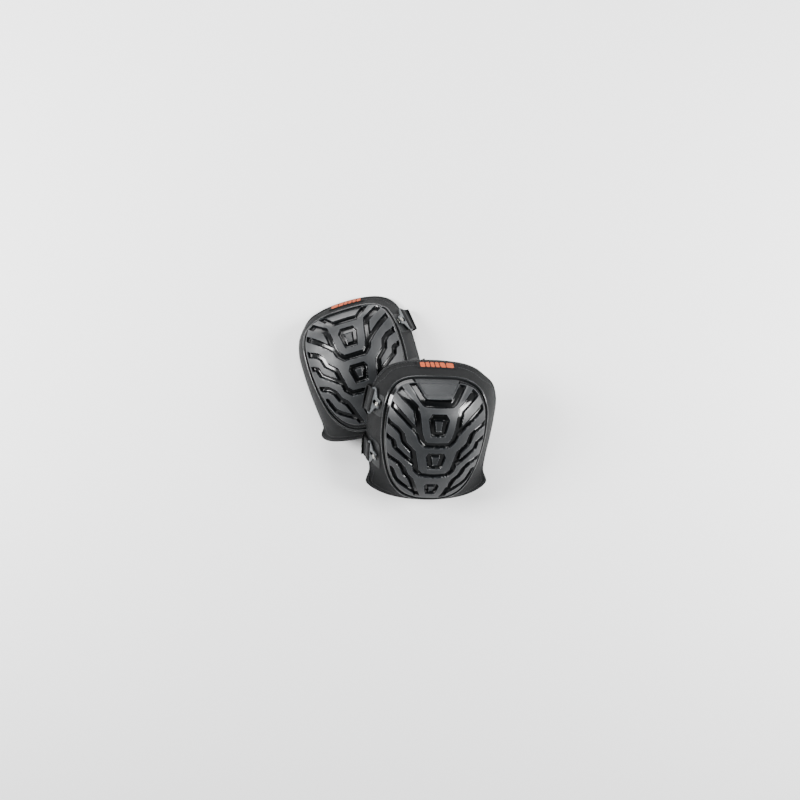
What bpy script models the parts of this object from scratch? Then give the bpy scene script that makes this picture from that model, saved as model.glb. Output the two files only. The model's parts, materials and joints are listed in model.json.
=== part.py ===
"""A pair of strap-on gel knee pads: one lies on the floor and the other leans on it.

Each pad is built in its own frame, with +X across the knee, +Y up the leg and +Z out through the
cap, and its origin on the cover under the middle recess. The two pads are mirror images.
All sizes are in metres.
"""

import math

import bmesh
import bpy
import numpy as np
from mathutils import Matrix, Vector
from mathutils.bvhtree import BVHTree

# The padded body: one domed surface from the top edge, where the label is, to the lower tabs.
BODY_LENGTH = 0.230
BODY_WIDTH = 0.190
BODY_DEPTH = 0.078
STUD_WING_SPLAY = 0.007
SEWN_WING_SPLAY = 0.001
STUD_WING_LIFT = 0.004
WING_START = 0.55
TOP_SKEW = 0.006
COVER_THICKNESS = 0.0015
FOAM_THICKNESS = 0.010
GEL_THICKNESS = 0.006
LINING_THICKNESS = 0.0010
EDGE_FOAM_THICKNESS = 0.0015
BINDING_RADIUS = 0.0024
BINDING_SINK = 0.7

# The moulded cap, sewn on the cover through its thin flange.
CAP_THICKNESS = 0.009
FLANGE_THICKNESS = 0.0028
PIPING_RADIUS = 0.0021
PIPING_AWAY = 1.25
CAP_HALF_SPAN = 0.60
CAP_TOP = 0.765
CAP_BOTTOM = -0.735
CAP_TAPER = 0.33

# The straps and their hardware.
STRAP_WIDTH = 0.038
STRAP_THICKNESS = 0.0016
LOOP_THICKNESS = 0.0014
LOOP_TAIL = 0.010
LOOP_SLOPE = 0.0045
LOOP_ROUND = 0.0005
LOOP_CORNER = 0.0008
STRAP_BULGE = 0.006
STRAP_DROP = 0.0004
CLIP_WIDTH = 0.044
CLIP_NOSE_WIDTH = 0.017
CLIP_THICKNESS = 0.0022
CLIP_TRAVEL = 0.0065
CLIP_BAR = 0.0036
CLIP_RIM = 0.0022
STUD_POST_RADIUS = 0.0020
STUD_HEAD_RADIUS = 0.0037
STUD_HEAD_HEIGHT = 0.0015
STUD_CROWN_SHARE = 0.6
STUD_FLANGE_RADIUS = 0.0055
STUD_FLANGE_HEIGHT = 0.0015
PATCH_THICKNESS = 0.0008
LABEL_THICKNESS = 0.0008
SLIDER_LENGTH = 0.013
SLIDER_HEIGHT = 0.0036
SLIDER_RIM = 0.0030
ANCHOR_THICKNESS = 0.0010

# Where the fastenings sit: across the wing from the crown (1 is the hem) and along the body.
STUD_ACROSS = 0.728
SEWN_ACROSS = -0.90
SEWN_END_ACROSS = -0.955
UPPER_ALONG = 0.24
LOWER_ALONG = -0.30
STUD_PATCH_REACH = (-0.07, 0.17)
STUD_PATCH_SHARE = 0.8
ANCHOR_REACH = (-0.01, 0.11)
PATCH_MARGIN = 0.02
LABEL_ACROSS = (-0.24, 0.30)
LABEL_ALONG = (0.885, 0.972)

# How a strap runs between its wings: in from the sewn one, under the hem and up to the clip.
STRAP_ENTRY = 0.018
STRAP_ENTRY_RISE = 0.004
STRAP_TURNS = (0.036, 0.010)
STRAP_OUTSIDE_RISE = 0.006
STRAP_LAND_BACK = 0.004
STRAP_LAND_OFF = 0.001
# Shares of the sag at the entry, where it is deepest, lost across the pad, and at the exit.
SAG_ENTRY, SAG_DEEPEST, SAG_SLOPE, SAG_EXIT = 0.5, 1.2, 0.9, 0.05

# How the pair lies: the heights come from what each pad rests on.
LEFT_PLACE = (-0.0646, 0.0440)
LEFT_HEADING = math.radians(17.0)
RIGHT_PLACE = (0.0535, -0.0905)
RIGHT_HEADING = math.radians(-5.0)
RIGHT_PITCH = math.radians(30.0)
RIGHT_ROLL = math.radians(7.0)
RIGHT_STRAP_SAG = 0.0340

GAP = 0.0003
PATCH_GAP = 0.0006
INNER_GAP = 0.0038
HEM_GAP = 0.0012
REST_GAP = 0.0014
EDGE_GAP = 0.0018
FOAM_INSET = 0.0055
FOAM_EDGE = 0.95
GEL_EDGE = 0.56
SQUARENESS = 7.0
CAP_SQUARENESS = 3.8
CAP_SHARE = 0.68
CAP_EDGE = 0.14
CAP_FLANGE = 0.035
AROUND = 44
CAP_RINGS = (0.3 * CAP_SHARE, 0.55 * CAP_SHARE, 0.8 * CAP_SHARE)
WING_RINGS = (CAP_SHARE, 0.76, 0.84)
STEP = 1e-4
STRAP_STEPS = 3
STRAP_FLAT_ROW = 4
STRAP_FLAT = (0.32, 0.42, 0.92, 1.02)

# Stations along the body, bottom edge first. The centre line's y and z, then the hem's x, y and z,
# as shares of the length, half width and depth.
STATIONS = np.array([
    (-0.446, -0.36, 0.970, -0.339, -0.62),
    (-0.376, -0.22, 0.925, -0.280, -0.78),
    (-0.235, -0.10, 0.960, -0.180, -0.95),
    (0.000, 0.00, 1.000, 0.015, -1.00),
    (0.240, -0.05, 1.000, 0.240, -1.00),
    (0.371, -0.26, 0.945, 0.357, -1.00),
    (0.460, -0.63, 0.875, 0.422, -1.00),
    (0.566, -0.97, 0.790, 0.465, -1.00),
])

BLACK = (0.020, 0.020, 0.022)
CORNERS = ((1, 1), (-1, 1), (-1, -1), (1, -1))


def spline(rows, position):
    """Catmull-Rom curve through rows, read at positions counted in rows."""
    rows = np.vstack([2 * rows[0] - rows[1], rows, 2 * rows[-1] - rows[-2]])
    start = np.clip(np.floor(position).astype(int), 0, len(rows) - 4)
    f = (position - start)[..., None]
    a, b, c, d = (rows[start + k] for k in range(4))
    low_terms = 2 * b + (c - a) * f + (2 * a - 5 * b + 4 * c - d) * f**2
    return 0.5 * (low_terms + (3 * b - a - 3 * c + d) * f**3)


def body_point(across, along, hand):
    """Points on the cover's outer face; across and along run from -1 to 1, hem to hem."""
    across, along = np.broadcast_arrays(np.asarray(across, float), np.asarray(along, float))
    row = spline(STATIONS, (along + 1) / 2 * (len(STATIONS) - 1))
    centre_y, hem_y = row[..., 0] * BODY_LENGTH, row[..., 3] * BODY_LENGTH
    centre_z, hem_z = row[..., 1] * BODY_DEPTH, row[..., 4] * BODY_DEPTH
    swing = np.clip(np.abs(across), 0, 1)
    wing = np.clip((swing - WING_START) / (1 - WING_START), 0, 1) ** 2
    splay = np.where(across > 0, STUD_WING_SPLAY, SEWN_WING_SPLAY) * wing
    top = np.clip(along, 0, 1) ** 3 * TOP_SKEW
    angle = across * math.pi / 2
    x = row[..., 2] * BODY_WIDTH / 2 * np.sin(angle) + np.sign(across) * splay + top
    y = centre_y + (hem_y - centre_y) * across**2
    lift = np.where(across > 0, STUD_WING_LIFT, 0.0) * wing
    z = centre_z + (hem_z - centre_z) * (1 - np.cos(angle)) + lift
    return np.stack([hand * x, y, z], axis=-1)


def body_normal(across, along, hand):
    """Unit normals of the cover's outer face, pointing away from the knee."""
    across, along = np.broadcast_arrays(np.asarray(across, float), np.asarray(along, float))
    side = body_point(across + STEP, along, hand) - body_point(across - STEP, along, hand)
    up = body_point(across, along + STEP, hand) - body_point(across, along - STEP, hand)
    normal = hand * np.cross(side, up)
    return normal / np.linalg.norm(normal, axis=-1, keepdims=True)


def offset_point(across, along, height, hand):
    """Points at a height above the cover's outer face, or below it where height is negative."""
    height = np.asarray(height, float)[..., None]
    return body_point(across, along, hand) + height * body_normal(across, along, hand)


def outline(angle, squareness):
    """A rounded square of half side 1: the point in each direction from its centre."""
    c, s = np.cos(angle), np.sin(angle)
    reach = (np.abs(c) ** squareness + np.abs(s) ** squareness) ** (-1 / squareness)
    return c * reach, s * reach


def body_domain(share, angle):
    """Where a share of the way from the pad's middle to its hem lies; the cap ends at CAP_SHARE."""
    across, along = outline(angle, CAP_SQUARENESS)
    inner = np.clip(share / CAP_SHARE, 0, 1)
    along = (CAP_TOP + CAP_BOTTOM) / 2 + inner * along * (CAP_TOP - CAP_BOTTOM) / 2
    across = inner * across * CAP_HALF_SPAN * (1 - CAP_TAPER * np.clip(along / CAP_BOTTOM, 0, 1) ** 1.5)
    hem_across, hem_along = outline(angle, SQUARENESS)
    outer = np.clip((share - CAP_SHARE) / (1 - CAP_SHARE), 0, 1)
    return across + outer * (hem_across - across), along + outer * (hem_along - along)


def foam_depth(share):
    """Thickness of the foam at a share of the way to the hem."""
    return EDGE_FOAM_THICKNESS + FOAM_THICKNESS * np.clip(1 - (share / FOAM_EDGE) ** 4, 0, 1)


def gel_depth(share):
    """Thickness of the gel at a share of the way to the hem."""
    return GEL_THICKNESS * np.clip(1 - (share / GEL_EDGE) ** 2, 0, 1)


def lining_height(share):
    """Height of the lining's outer face, which carries the foam and the gel."""
    return -(COVER_THICKNESS + GAP + foam_depth(share) + GAP + gel_depth(share) + 2 * GAP)


def new_object(name, data, parent, colour, roughness, metallic=0.0):
    """Link an object under its pad's empty, with its own material."""
    obj = bpy.data.objects.new(name, data)
    bpy.context.scene.collection.objects.link(obj)
    obj.parent = parent
    material = bpy.data.materials.new(name)
    material.use_nodes = True
    shader = material.node_tree.nodes["Principled BSDF"]
    shader.inputs["Base Color"].default_value = (*colour, 1.0)
    shader.inputs["Roughness"].default_value = roughness
    shader.inputs["Metallic"].default_value = metallic
    data.materials.append(material)
    return obj


def finish_mesh(bm, name, smooth_angle=40):
    """Turn a bmesh into a mesh whose faces point out and whose round stretches are smooth."""
    bmesh.ops.recalc_face_normals(bm, faces=bm.faces)
    mesh = bpy.data.meshes.new(name)
    bm.to_mesh(mesh)
    bm.free()
    mesh.shade_smooth()
    mesh.set_sharp_from_angle(angle=math.radians(smooth_angle))
    return mesh


def around_angles():
    """The directions in which every layer of the body has its corners."""
    return np.arange(AROUND) * 2 * math.pi / AROUND


def inset_share(distance):
    """The shares, one for each direction, that lie a distance inside the hem, square to it."""
    hem = body_point(*body_domain(1.0, around_angles()), 1)
    inward = body_point(*body_domain(0.9, around_angles()), 1) - hem
    length = np.linalg.norm(inward, axis=1)
    before, after = hem - np.roll(hem, 1, axis=0), np.roll(hem, -1, axis=0) - hem
    square = [np.linalg.norm(np.cross(inward, side), axis=1) / length / np.linalg.norm(side, axis=1)
              for side in (before, after)]
    return np.maximum(1 - 0.1 * distance / length / np.minimum(*square), WING_RINGS[-1] + 0.02)


def layer_mesh(name, rings, top, bottom, hand, top_rings=None):
    """Closed solid between two heights over the body's surface, out to the last ring."""
    around, angles = AROUND, around_angles()
    bm = bmesh.new()
    sides = []
    for height, shares in ((top, top_rings or rings), (bottom, rings)):
        middle = offset_point(*body_domain(0.0, np.zeros(1)), height(np.zeros(1)), hand)[0]
        loops = []
        for share in shares:
            share = np.broadcast_to(share, around)
            points = offset_point(*body_domain(share, angles), height(share), hand)
            loops.append([bm.verts.new(p) for p in points])
        hub = bm.verts.new(middle)
        for k in range(around):
            bm.faces.new((hub, loops[0][k], loops[0][(k + 1) % around]))
        for inner, outer in zip(loops, loops[1:]):
            for k in range(around):
                after = (k + 1) % around
                bm.faces.new((inner[k], outer[k], outer[after]))
                bm.faces.new((inner[k], outer[after], inner[after]))
        sides.append(loops[-1])
    for k in range(around):
        after = (k + 1) % around
        bm.faces.new((sides[0][k], sides[1][k], sides[1][after], sides[0][after]))
    return finish_mesh(bm, name)


def patch_mesh(name, across, along, top, bottom, cells, hand):
    """Closed rectangular patch over the body's surface, between two heights."""
    bm = bmesh.new()
    grids = []
    a, b = np.meshgrid(np.linspace(*across, cells[0] + 1), np.linspace(*along, cells[1] + 1), indexing="ij")
    for height in (top, bottom):
        points = offset_point(a, b, height(a, b), hand)
        grids.append([[bm.verts.new(p) for p in line] for line in points])
    for grid in grids:
        for i in range(cells[0]):
            for j in range(cells[1]):
                bm.faces.new((grid[i][j], grid[i + 1][j], grid[i + 1][j + 1], grid[i][j + 1]))
    upper, lower = grids
    for i in range(cells[0]):
        for j in (0, cells[1]):
            bm.faces.new((upper[i][j], upper[i + 1][j], lower[i + 1][j], lower[i][j]))
    for j in range(cells[1]):
        for i in (0, cells[0]):
            bm.faces.new((upper[i][j], upper[i][j + 1], lower[i][j + 1], lower[i][j]))
    return finish_mesh(bm, name)


def round_cord(name, points, radius):
    """A closed round cord through points."""
    curve = bpy.data.curves.new(name, "CURVE")
    curve.dimensions = "3D"
    curve.bevel_depth = radius
    curve.bevel_resolution = 1
    line = curve.splines.new("POLY")
    line.points.add(len(points) - 1)
    for spot, place in zip(line.points, points):
        spot.co = (*place, 1.0)
    line.use_cyclic_u = True
    return curve


def band_mesh(name, centres, widths, thickness, width):
    """A flat band swept along centres, each with the direction of its width."""
    centres, widths = np.asarray(centres), np.asarray(widths)
    run = np.gradient(centres, axis=0)
    widths = widths / np.linalg.norm(widths, axis=1, keepdims=True)
    normals = np.cross(run, widths)
    normals /= np.linalg.norm(normals, axis=1, keepdims=True)
    bm = bmesh.new()
    rings = []
    for centre, w, n in zip(centres, widths, normals):
        corners = [centre + w * width / 2 * a + n * thickness / 2 * b for a, b in CORNERS]
        rings.append([bm.verts.new(c) for c in corners])
    for ring, after in zip(rings, rings[1:]):
        for k in range(4):
            bm.faces.new((ring[k], ring[(k + 1) % 4], after[(k + 1) % 4], after[k]))
    bm.faces.new(rings[0])
    bm.faces.new(rings[-1])
    return finish_mesh(bm, name)


def wing_frame(across, along, hand):
    """A frame on the wing: X along the hem, Y up towards the crown, Z out of the cover."""
    origin = body_point(across, along, hand)
    out = body_normal(across, along, hand)
    up = body_point(across - math.copysign(STEP, across), along, hand) - origin
    up = up - out * float(up @ out)
    up /= np.linalg.norm(up)
    side = np.cross(up, out)
    return Matrix(((side[0], up[0], out[0], origin[0]), (side[1], up[1], out[1], origin[1]),
                   (side[2], up[2], out[2], origin[2]), (0, 0, 0, 1)))


# Heights over the wing of the stud and the clip, from the cover outwards.
FLANGE_FOOT = PATCH_GAP + PATCH_THICKNESS + GAP
CLIP_FOOT = FLANGE_FOOT + STUD_FLANGE_HEIGHT + GAP
HEAD_FOOT = CLIP_FOOT + CLIP_THICKNESS + GAP
# Places down the clip, counted from the stud's axis.
HOLE_RADIUS = STUD_HEAD_RADIUS + 2 * GAP
SLOT_HALF_WIDTH = STUD_POST_RADIUS + GAP
HOLE_DOWN = -CLIP_TRAVEL
STRAP_SLOT = LOOP_THICKNESS + 3 * GAP
STRAP_SLOT_TOP = HOLE_DOWN - HOLE_RADIUS - CLIP_RIM / 2
BAR_TOP = STRAP_SLOT_TOP - STRAP_SLOT
CLIP_FOOT_END = BAR_TOP - CLIP_BAR
CLIP_NOSE_END = SLOT_HALF_WIDTH + CLIP_RIM
LOOP_END = CLIP_FOOT_END - LOOP_TAIL


def arc(centre, radius, start, stop, steps):
    """Points round a circle from one angle to another."""
    angles = np.linspace(start, stop, steps)
    return [(centre[0] + radius * math.cos(a), centre[1] + radius * math.sin(a)) for a in angles]


def keyhole():
    """The clip's keyhole: a narrow end for the stud's post and a wide end for its head."""
    turn = math.asin(SLOT_HALF_WIDTH / HOLE_RADIUS)
    wide = arc((0, HOLE_DOWN), HOLE_RADIUS, math.pi / 2 + turn, math.pi * 2.5 - turn, 14)
    narrow = arc((0, 0), SLOT_HALF_WIDTH, 0, math.pi, 7)
    return wide + narrow


def clip_outline():
    """The clip's outline: a wide foot for the strap and a narrow nose over the stud."""
    foot, nose = CLIP_WIDTH / 2, CLIP_NOSE_WIDTH / 2
    shoulder = STRAP_SLOT_TOP + CLIP_RIM
    corner = CLIP_RIM
    half = [(foot - corner, CLIP_FOOT_END), (foot, CLIP_FOOT_END + corner), (foot, shoulder - corner),
            (foot - corner, shoulder), (nose, HOLE_DOWN / 2), (nose - corner, CLIP_NOSE_END)]
    return half + [(-x, y) for x, y in reversed(half)]


def clip_mesh(name):
    """A flat clip with its keyhole and the slot for the strap's loop."""
    slot = (STRAP_WIDTH + 4 * GAP) / 2
    holes = [keyhole(), [(-slot, BAR_TOP), (slot, BAR_TOP), (slot, STRAP_SLOT_TOP), (-slot, STRAP_SLOT_TOP)]]
    bm = bmesh.new()
    for loop in [clip_outline(), *holes]:
        corners = [bm.verts.new((x, y, CLIP_FOOT)) for x, y in loop]
        for k, corner in enumerate(corners):
            bm.edges.new((corner, corners[(k + 1) % len(corners)]))
    bmesh.ops.triangle_fill(bm, edges=bm.edges, use_beauty=True)
    made = bmesh.ops.extrude_face_region(bm, geom=bm.faces[:])
    raised = [v for v in made["geom"] if isinstance(v, bmesh.types.BMVert)]
    bmesh.ops.translate(bm, verts=raised, vec=(0, 0, CLIP_THICKNESS))
    return finish_mesh(bm, name, 30)


def stud_mesh(name):
    """A turned button: its flange lies on the wing and its head stands over the clip."""
    profile = [(0, FLANGE_FOOT), (STUD_FLANGE_RADIUS, FLANGE_FOOT),
               (STUD_FLANGE_RADIUS, FLANGE_FOOT + STUD_FLANGE_HEIGHT),
               (STUD_POST_RADIUS, FLANGE_FOOT + STUD_FLANGE_HEIGHT), (STUD_POST_RADIUS, HEAD_FOOT),
               (STUD_HEAD_RADIUS, HEAD_FOOT), (STUD_HEAD_RADIUS, HEAD_FOOT + STUD_HEAD_HEIGHT / 2),
               (STUD_HEAD_RADIUS * STUD_CROWN_SHARE, HEAD_FOOT + STUD_HEAD_HEIGHT),
               (0, HEAD_FOOT + STUD_HEAD_HEIGHT)]
    bm = bmesh.new()
    points = [bm.verts.new((r, 0, z)) for r, z in profile]
    edges = [bm.edges.new(pair) for pair in zip(points, points[1:])]
    bmesh.ops.spin(bm, geom=points + edges, axis=(0, 0, 1), cent=(0, 0, 0), angle=2 * math.pi,
                   steps=16)
    bmesh.ops.remove_doubles(bm, verts=bm.verts, dist=1e-5)
    return finish_mesh(bm, name, 30)


def loop_mesh(name):
    """The strap's sewn end loop, round the clip's bar and through its slot."""
    under = CLIP_FOOT - GAP - LOOP_THICKNESS / 2
    over = CLIP_FOOT + CLIP_THICKNESS + GAP + LOOP_THICKNESS / 2
    turn = BAR_TOP + GAP + LOOP_THICKNESS / 2
    joined = under + LOOP_THICKNESS + GAP
    route = [(LOOP_END, joined), (CLIP_FOOT_END - LOOP_SLOPE, joined), (CLIP_FOOT_END, over),
             (BAR_TOP - LOOP_ROUND, over), (turn, over - LOOP_CORNER), (turn, under + LOOP_CORNER),
             (BAR_TOP - LOOP_ROUND, under), (CLIP_FOOT_END, under), (LOOP_END, under)]
    centres = [(0, y, z) for y, z in route]
    return band_mesh(name, centres, [(1, 0, 0)] * len(centres), LOOP_THICKNESS, STRAP_WIDTH)


def slider_mesh(name):
    """A slider: a flat frame with one slot that the strap runs through."""
    half = [(STRAP_WIDTH + 4 * GAP) / 2, (STRAP_THICKNESS + 2 * GAP) / 2]
    wall = [half[0] + SLIDER_RIM, SLIDER_HEIGHT / 2]
    bm = bmesh.new()
    loops = []
    for end in (-SLIDER_LENGTH / 2, SLIDER_LENGTH / 2):
        pair = [[bm.verts.new((end, sx * w, sz * h)) for sx, sz in CORNERS] for w, h in (half, wall)]
        loops.append(pair)
    for k in range(4):
        after = (k + 1) % 4
        for inner, outer in loops:
            bm.faces.new((inner[k], inner[after], outer[after], outer[k]))
        for start, stop in zip(loops[0], loops[1]):
            bm.faces.new((start[k], start[after], stop[after], stop[k]))
    bmesh.ops.recalc_face_normals(bm, faces=bm.faces)
    outer_edges = [e for e in bm.edges if all(abs(v.co.y) > half[0] + GAP for v in e.verts)
                   and abs(e.verts[0].co.x - e.verts[1].co.x) > GAP]
    bmesh.ops.bevel(bm, geom=outer_edges, offset=SLIDER_HEIGHT / 4, segments=2, affect="EDGES")
    return finish_mesh(bm, name, 30)


def strap_route(along, hand, sag):
    """The strap's centres and width directions, from the sewn wing inside to the clip outside."""
    sewn = body_point(SEWN_ACROSS, along, hand)
    inside = -float(body_normal(SEWN_ACROSS, along, hand)[0]) * hand
    depth = -lining_height(abs(SEWN_ACROSS)) + LINING_THICKNESS + INNER_GAP + STRAP_THICKNESS / 2
    fixed = offset_point(SEWN_ACROSS, along, -depth, hand)
    fixed_low = offset_point(SEWN_END_ACROSS, along, -depth, hand)
    frame = wing_frame(STUD_ACROSS, along, hand)
    side, up, out = (np.array(frame.col[k][:3]) for k in range(3))
    stud = np.array(frame.translation)
    end = stud + up * (LOOP_END - GAP) + out * (CLIP_FOOT - GAP - LOOP_THICKNESS / 2)
    hem = body_point(1.0, along, hand)
    run = -BODY_DEPTH - BINDING_RADIUS - STRAP_DROP + STRAP_THICKNESS / 2
    half = STRAP_WIDTH / BODY_LENGTH
    low = body_point(1.0, np.array([along - half, along, along + half]), hand)[:, 2].min()
    under = low - BINDING_RADIUS - HEM_GAP - STRAP_THICKNESS / 2
    outward = hand * (BINDING_RADIUS + GAP + STRAP_THICKNESS / 2 + STRAP_BULGE)
    reach = abs(hem[0])
    rows = [
        (*fixed, 0), (*fixed_low, 0),
        (sewn[0] + hand * inside * STRAP_ENTRY, sewn[1], run + STRAP_ENTRY_RISE - sag * SAG_ENTRY, 0.5),
        *[(sewn[0] + hand * inside * share * reach, sewn[1] + (hem[1] - sewn[1]) * share / 2,
           run - sag * (SAG_DEEPEST - SAG_SLOPE * share), 1) for share in STRAP_FLAT],
        (hand * (reach - STRAP_TURNS[0]), hem[1], run - sag * SAG_EXIT, 1),
        (hand * (reach - STRAP_TURNS[1]), hem[1], under, 0.9),
        (hem[0] + outward * 0.5, hem[1], under, 0.7),
        (hem[0] + outward, hem[1], hem[2] + STRAP_OUTSIDE_RISE, 0.4),
        (*(end - up * STRAP_LAND_BACK + out * STRAP_LAND_OFF), 0), (*end, 0),
    ]
    rows = np.array(rows)
    spots = np.linspace(0, len(rows) - 1, STRAP_STEPS * (len(rows) - 1) + 1)
    smooth = spline(rows, np.minimum(spots, len(rows) - 1 - 1e-9))
    sewn_frame = wing_frame(SEWN_ACROSS, along, hand)
    sewn_side = -np.array(sewn_frame.col[0][:3])
    flat = np.array((0.0, hand, 0.0))
    half = len(smooth) // 2
    ends = np.array([sewn_side * np.sign(sewn_side[1]) * hand] * half
                    + [side * np.sign(side[1]) * hand] * (len(smooth) - half))
    share = np.clip(smooth[:, 3:4], 0, 1)
    return smooth[:, :3], share * flat + (1 - share) * ends


def add_layers(parent, side, hand):
    """The cover, foam, gel and lining, the bound edge and the label."""
    edge = inset_share(BINDING_RADIUS + EDGE_GAP)
    rings = (*CAP_RINGS, *WING_RINGS, inset_share(BINDING_RADIUS + FOAM_INSET))
    under = -(COVER_THICKNESS + GAP)
    layers = [
        ("cover", (*rings, edge), lambda e: 0 * e, lambda e: 0 * e - COVER_THICKNESS, BLACK, 0.85),
        ("foam_core", rings, lambda e: 0 * e + under, lambda e: under - foam_depth(e),
         (0.25, 0.25, 0.26), 0.9),
        ("gel_insert", CAP_RINGS, lambda e: under - foam_depth(e) - GAP,
         lambda e: under - foam_depth(e) - GAP - gel_depth(e), (0.15, 0.30, 0.55), 0.3),
        ("lining", (*rings, edge), lining_height, lambda e: lining_height(e) - LINING_THICKNESS,
         (0.03, 0.03, 0.033), 0.95),
    ]
    for name, shares, top, bottom, colour, rough in layers:
        mesh = layer_mesh(name, shares, top, bottom, hand)
        new_object(f"{side}_{name}", mesh, parent, colour, rough)
    sunk = np.full(AROUND, -BINDING_RADIUS * BINDING_SINK)
    hem = offset_point(*body_domain(1.0, around_angles()), sunk, hand)
    new_object(f"{side}_edge_binding", round_cord(f"{side}_binding", hem, BINDING_RADIUS), parent, BLACK, 0.8)
    label = patch_mesh(f"{side}_label", LABEL_ACROSS, LABEL_ALONG,
                       lambda a, b: 0 * a + PATCH_GAP + LABEL_THICKNESS, lambda a, b: 0 * a + PATCH_GAP,
                       (8, 3), hand)
    new_object(f"{side}_label", label, parent, (0.55, 0.12, 0.02), 0.7)


def cap_height(share):
    """Height of the cap's top: full thickness inside, a rounded edge, then the flange."""
    edge = np.clip((1 - share / CAP_SHARE - CAP_FLANGE) / (CAP_EDGE - CAP_FLANGE), 0, 1)
    return FLANGE_THICKNESS + (CAP_THICKNESS - FLANGE_THICKNESS) * np.sqrt(1 - (1 - edge) ** 2)


def add_cap(parent, side, hand):
    """The moulded cap and the piping sewn round its flange."""
    edge = [CAP_SHARE * (1 - CAP_EDGE * k) for k in (1.0, 0.62, 0.25)]
    mesh = layer_mesh(f"{side}_cap", (*CAP_RINGS, CAP_SHARE), cap_height, lambda e: 0 * e + GAP, hand,
                      (*CAP_RINGS, *edge, CAP_SHARE))
    new_object(f"{side}_cap", mesh, parent, (0.045, 0.045, 0.048), 0.35)
    height = np.full(AROUND, PIPING_RADIUS + PATCH_GAP)
    rim = offset_point(*body_domain(CAP_SHARE, around_angles()), height, hand)
    away = offset_point(*body_domain(CAP_SHARE + 0.03, around_angles()), height, hand) - rim
    away /= np.linalg.norm(away, axis=1, keepdims=True)
    piping = rim + away * (PIPING_RADIUS * PIPING_AWAY + GAP)
    new_object(f"{side}_cap_piping", round_cord(f"{side}_piping", piping, PIPING_RADIUS), parent, BLACK, 0.5)


def add_strap(parent, side, level, along, hand, sag=0.0):
    """One strap with its sewn anchor, its slider, its end loop, the clip and the stud."""
    name = f"{side}_{level}"
    centres, widths = strap_route(along, hand, sag)
    strap = band_mesh(f"{name}_strap", centres, widths, STRAP_THICKNESS, STRAP_WIDTH)
    new_object(f"{name}_strap", strap, parent, (0.03, 0.03, 0.03), 0.9)

    frame = wing_frame(STUD_ACROSS, along, hand)
    for piece, mesh, colour, rough, metal in (
        ("stud", stud_mesh(f"{name}_stud"), (0.30, 0.30, 0.31), 0.35, 0.8),
        ("clip", clip_mesh(f"{name}_clip"), (0.12, 0.12, 0.125), 0.4, 0.0),
        ("strap_loop", loop_mesh(f"{name}_loop"), (0.03, 0.03, 0.03), 0.9, 0.0),
    ):
        obj = new_object(f"{name}_{piece}", mesh, parent, colour, rough, metal)
        obj.matrix_local = frame

    slider = new_object(f"{name}_slider", slider_mesh(f"{name}_slider"), parent, (0.02, 0.02, 0.02), 0.4)
    first = STRAP_STEPS * STRAP_FLAT_ROW
    start, stop = centres[first], centres[first + STRAP_STEPS]
    slider.location = (start + stop) / 2
    run = (stop - start) * hand
    slider.rotation_euler = (0, -math.atan2(run[2], run[0]), math.atan2(run[1], run[0]))

    half = STRAP_WIDTH / BODY_LENGTH + PATCH_MARGIN
    near = half * STUD_PATCH_SHARE
    patch = patch_mesh(f"{name}_stud_patch", [STUD_ACROSS + reach for reach in STUD_PATCH_REACH],
                       (along - near, along + near), lambda a, b: 0 * a + PATCH_GAP + PATCH_THICKNESS,
                       lambda a, b: 0 * a + PATCH_GAP, (4, 4), hand)
    new_object(f"{name}_stud_patch", patch, parent, (0.03, 0.03, 0.032), 0.6)
    under = lining_height(abs(SEWN_ACROSS)) - LINING_THICKNESS - INNER_GAP - STRAP_THICKNESS - PATCH_GAP
    tab = patch_mesh(f"{name}_anchor", [SEWN_ACROSS + reach for reach in ANCHOR_REACH],
                     (along - half, along + half), lambda a, b: 0 * a + under,
                     lambda a, b: 0 * a + under - ANCHOR_THICKNESS, (3, 4), hand)
    new_object(f"{name}_anchor", tab, parent, (0.03, 0.03, 0.032), 0.7)


def build_pad(side, hand, sag):
    """One whole pad under an empty at its own origin; its lower strap hangs slack by sag."""
    pad = bpy.data.objects.new(f"{side}_pad", None)
    bpy.context.scene.collection.objects.link(pad)
    add_cap(pad, side, hand)
    add_layers(pad, side, hand)
    add_strap(pad, side, "upper", UPPER_ALONG, hand)
    add_strap(pad, side, "lower", LOWER_ALONG, hand, sag)
    return pad


def world_solids(pad):
    """The pad's pieces as vertices and polygons in world space."""
    graph = bpy.context.evaluated_depsgraph_get()
    for obj in pad.children:
        shape = obj.evaluated_get(graph)
        mesh = shape.to_mesh()
        matrix = obj.matrix_world
        yield [matrix @ v.co for v in mesh.vertices], [tuple(p.vertices) for p in mesh.polygons]
        shape.to_mesh_clear()


def lowest(pad):
    """The height of the pad's lowest point."""
    return min(v.z for vertices, _ in world_solids(pad) for v in vertices)


def clear_height(upper, lower):
    """The smallest upright gap between two pads, of those that stand over each other."""
    gap = math.inf
    for above, below, way in ((upper, lower, -1), (lower, upper, 1)):
        for vertices, polygons in world_solids(below):
            tree = BVHTree.FromPolygons(vertices, polygons)
            for points, _ in world_solids(above):
                for point in points:
                    start = point + Vector((0, 0, -way))
                    hit = tree.ray_cast(start, Vector((0, 0, way)))[0]
                    if hit is not None:
                        gap = min(gap, (point.z - hit.z) * -way)
    return gap


def settle(left, right):
    """Stand the left pad on the floor, rest the right one on it, and centre the pair."""
    left.location.z -= lowest(left)
    right.location.z += 1.0
    bpy.context.view_layer.update()
    drop = min(lowest(right), clear_height(right, left) - REST_GAP)
    right.location.z -= drop
    bpy.context.view_layer.update()
    points = [v for pad in (left, right) for vertices, _ in world_solids(pad) for v in vertices]
    for axis in (0, 1):
        middle = (min(p[axis] for p in points) + max(p[axis] for p in points)) / 2
        left.location[axis] -= middle
        right.location[axis] -= middle
    bpy.context.view_layer.update()


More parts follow.
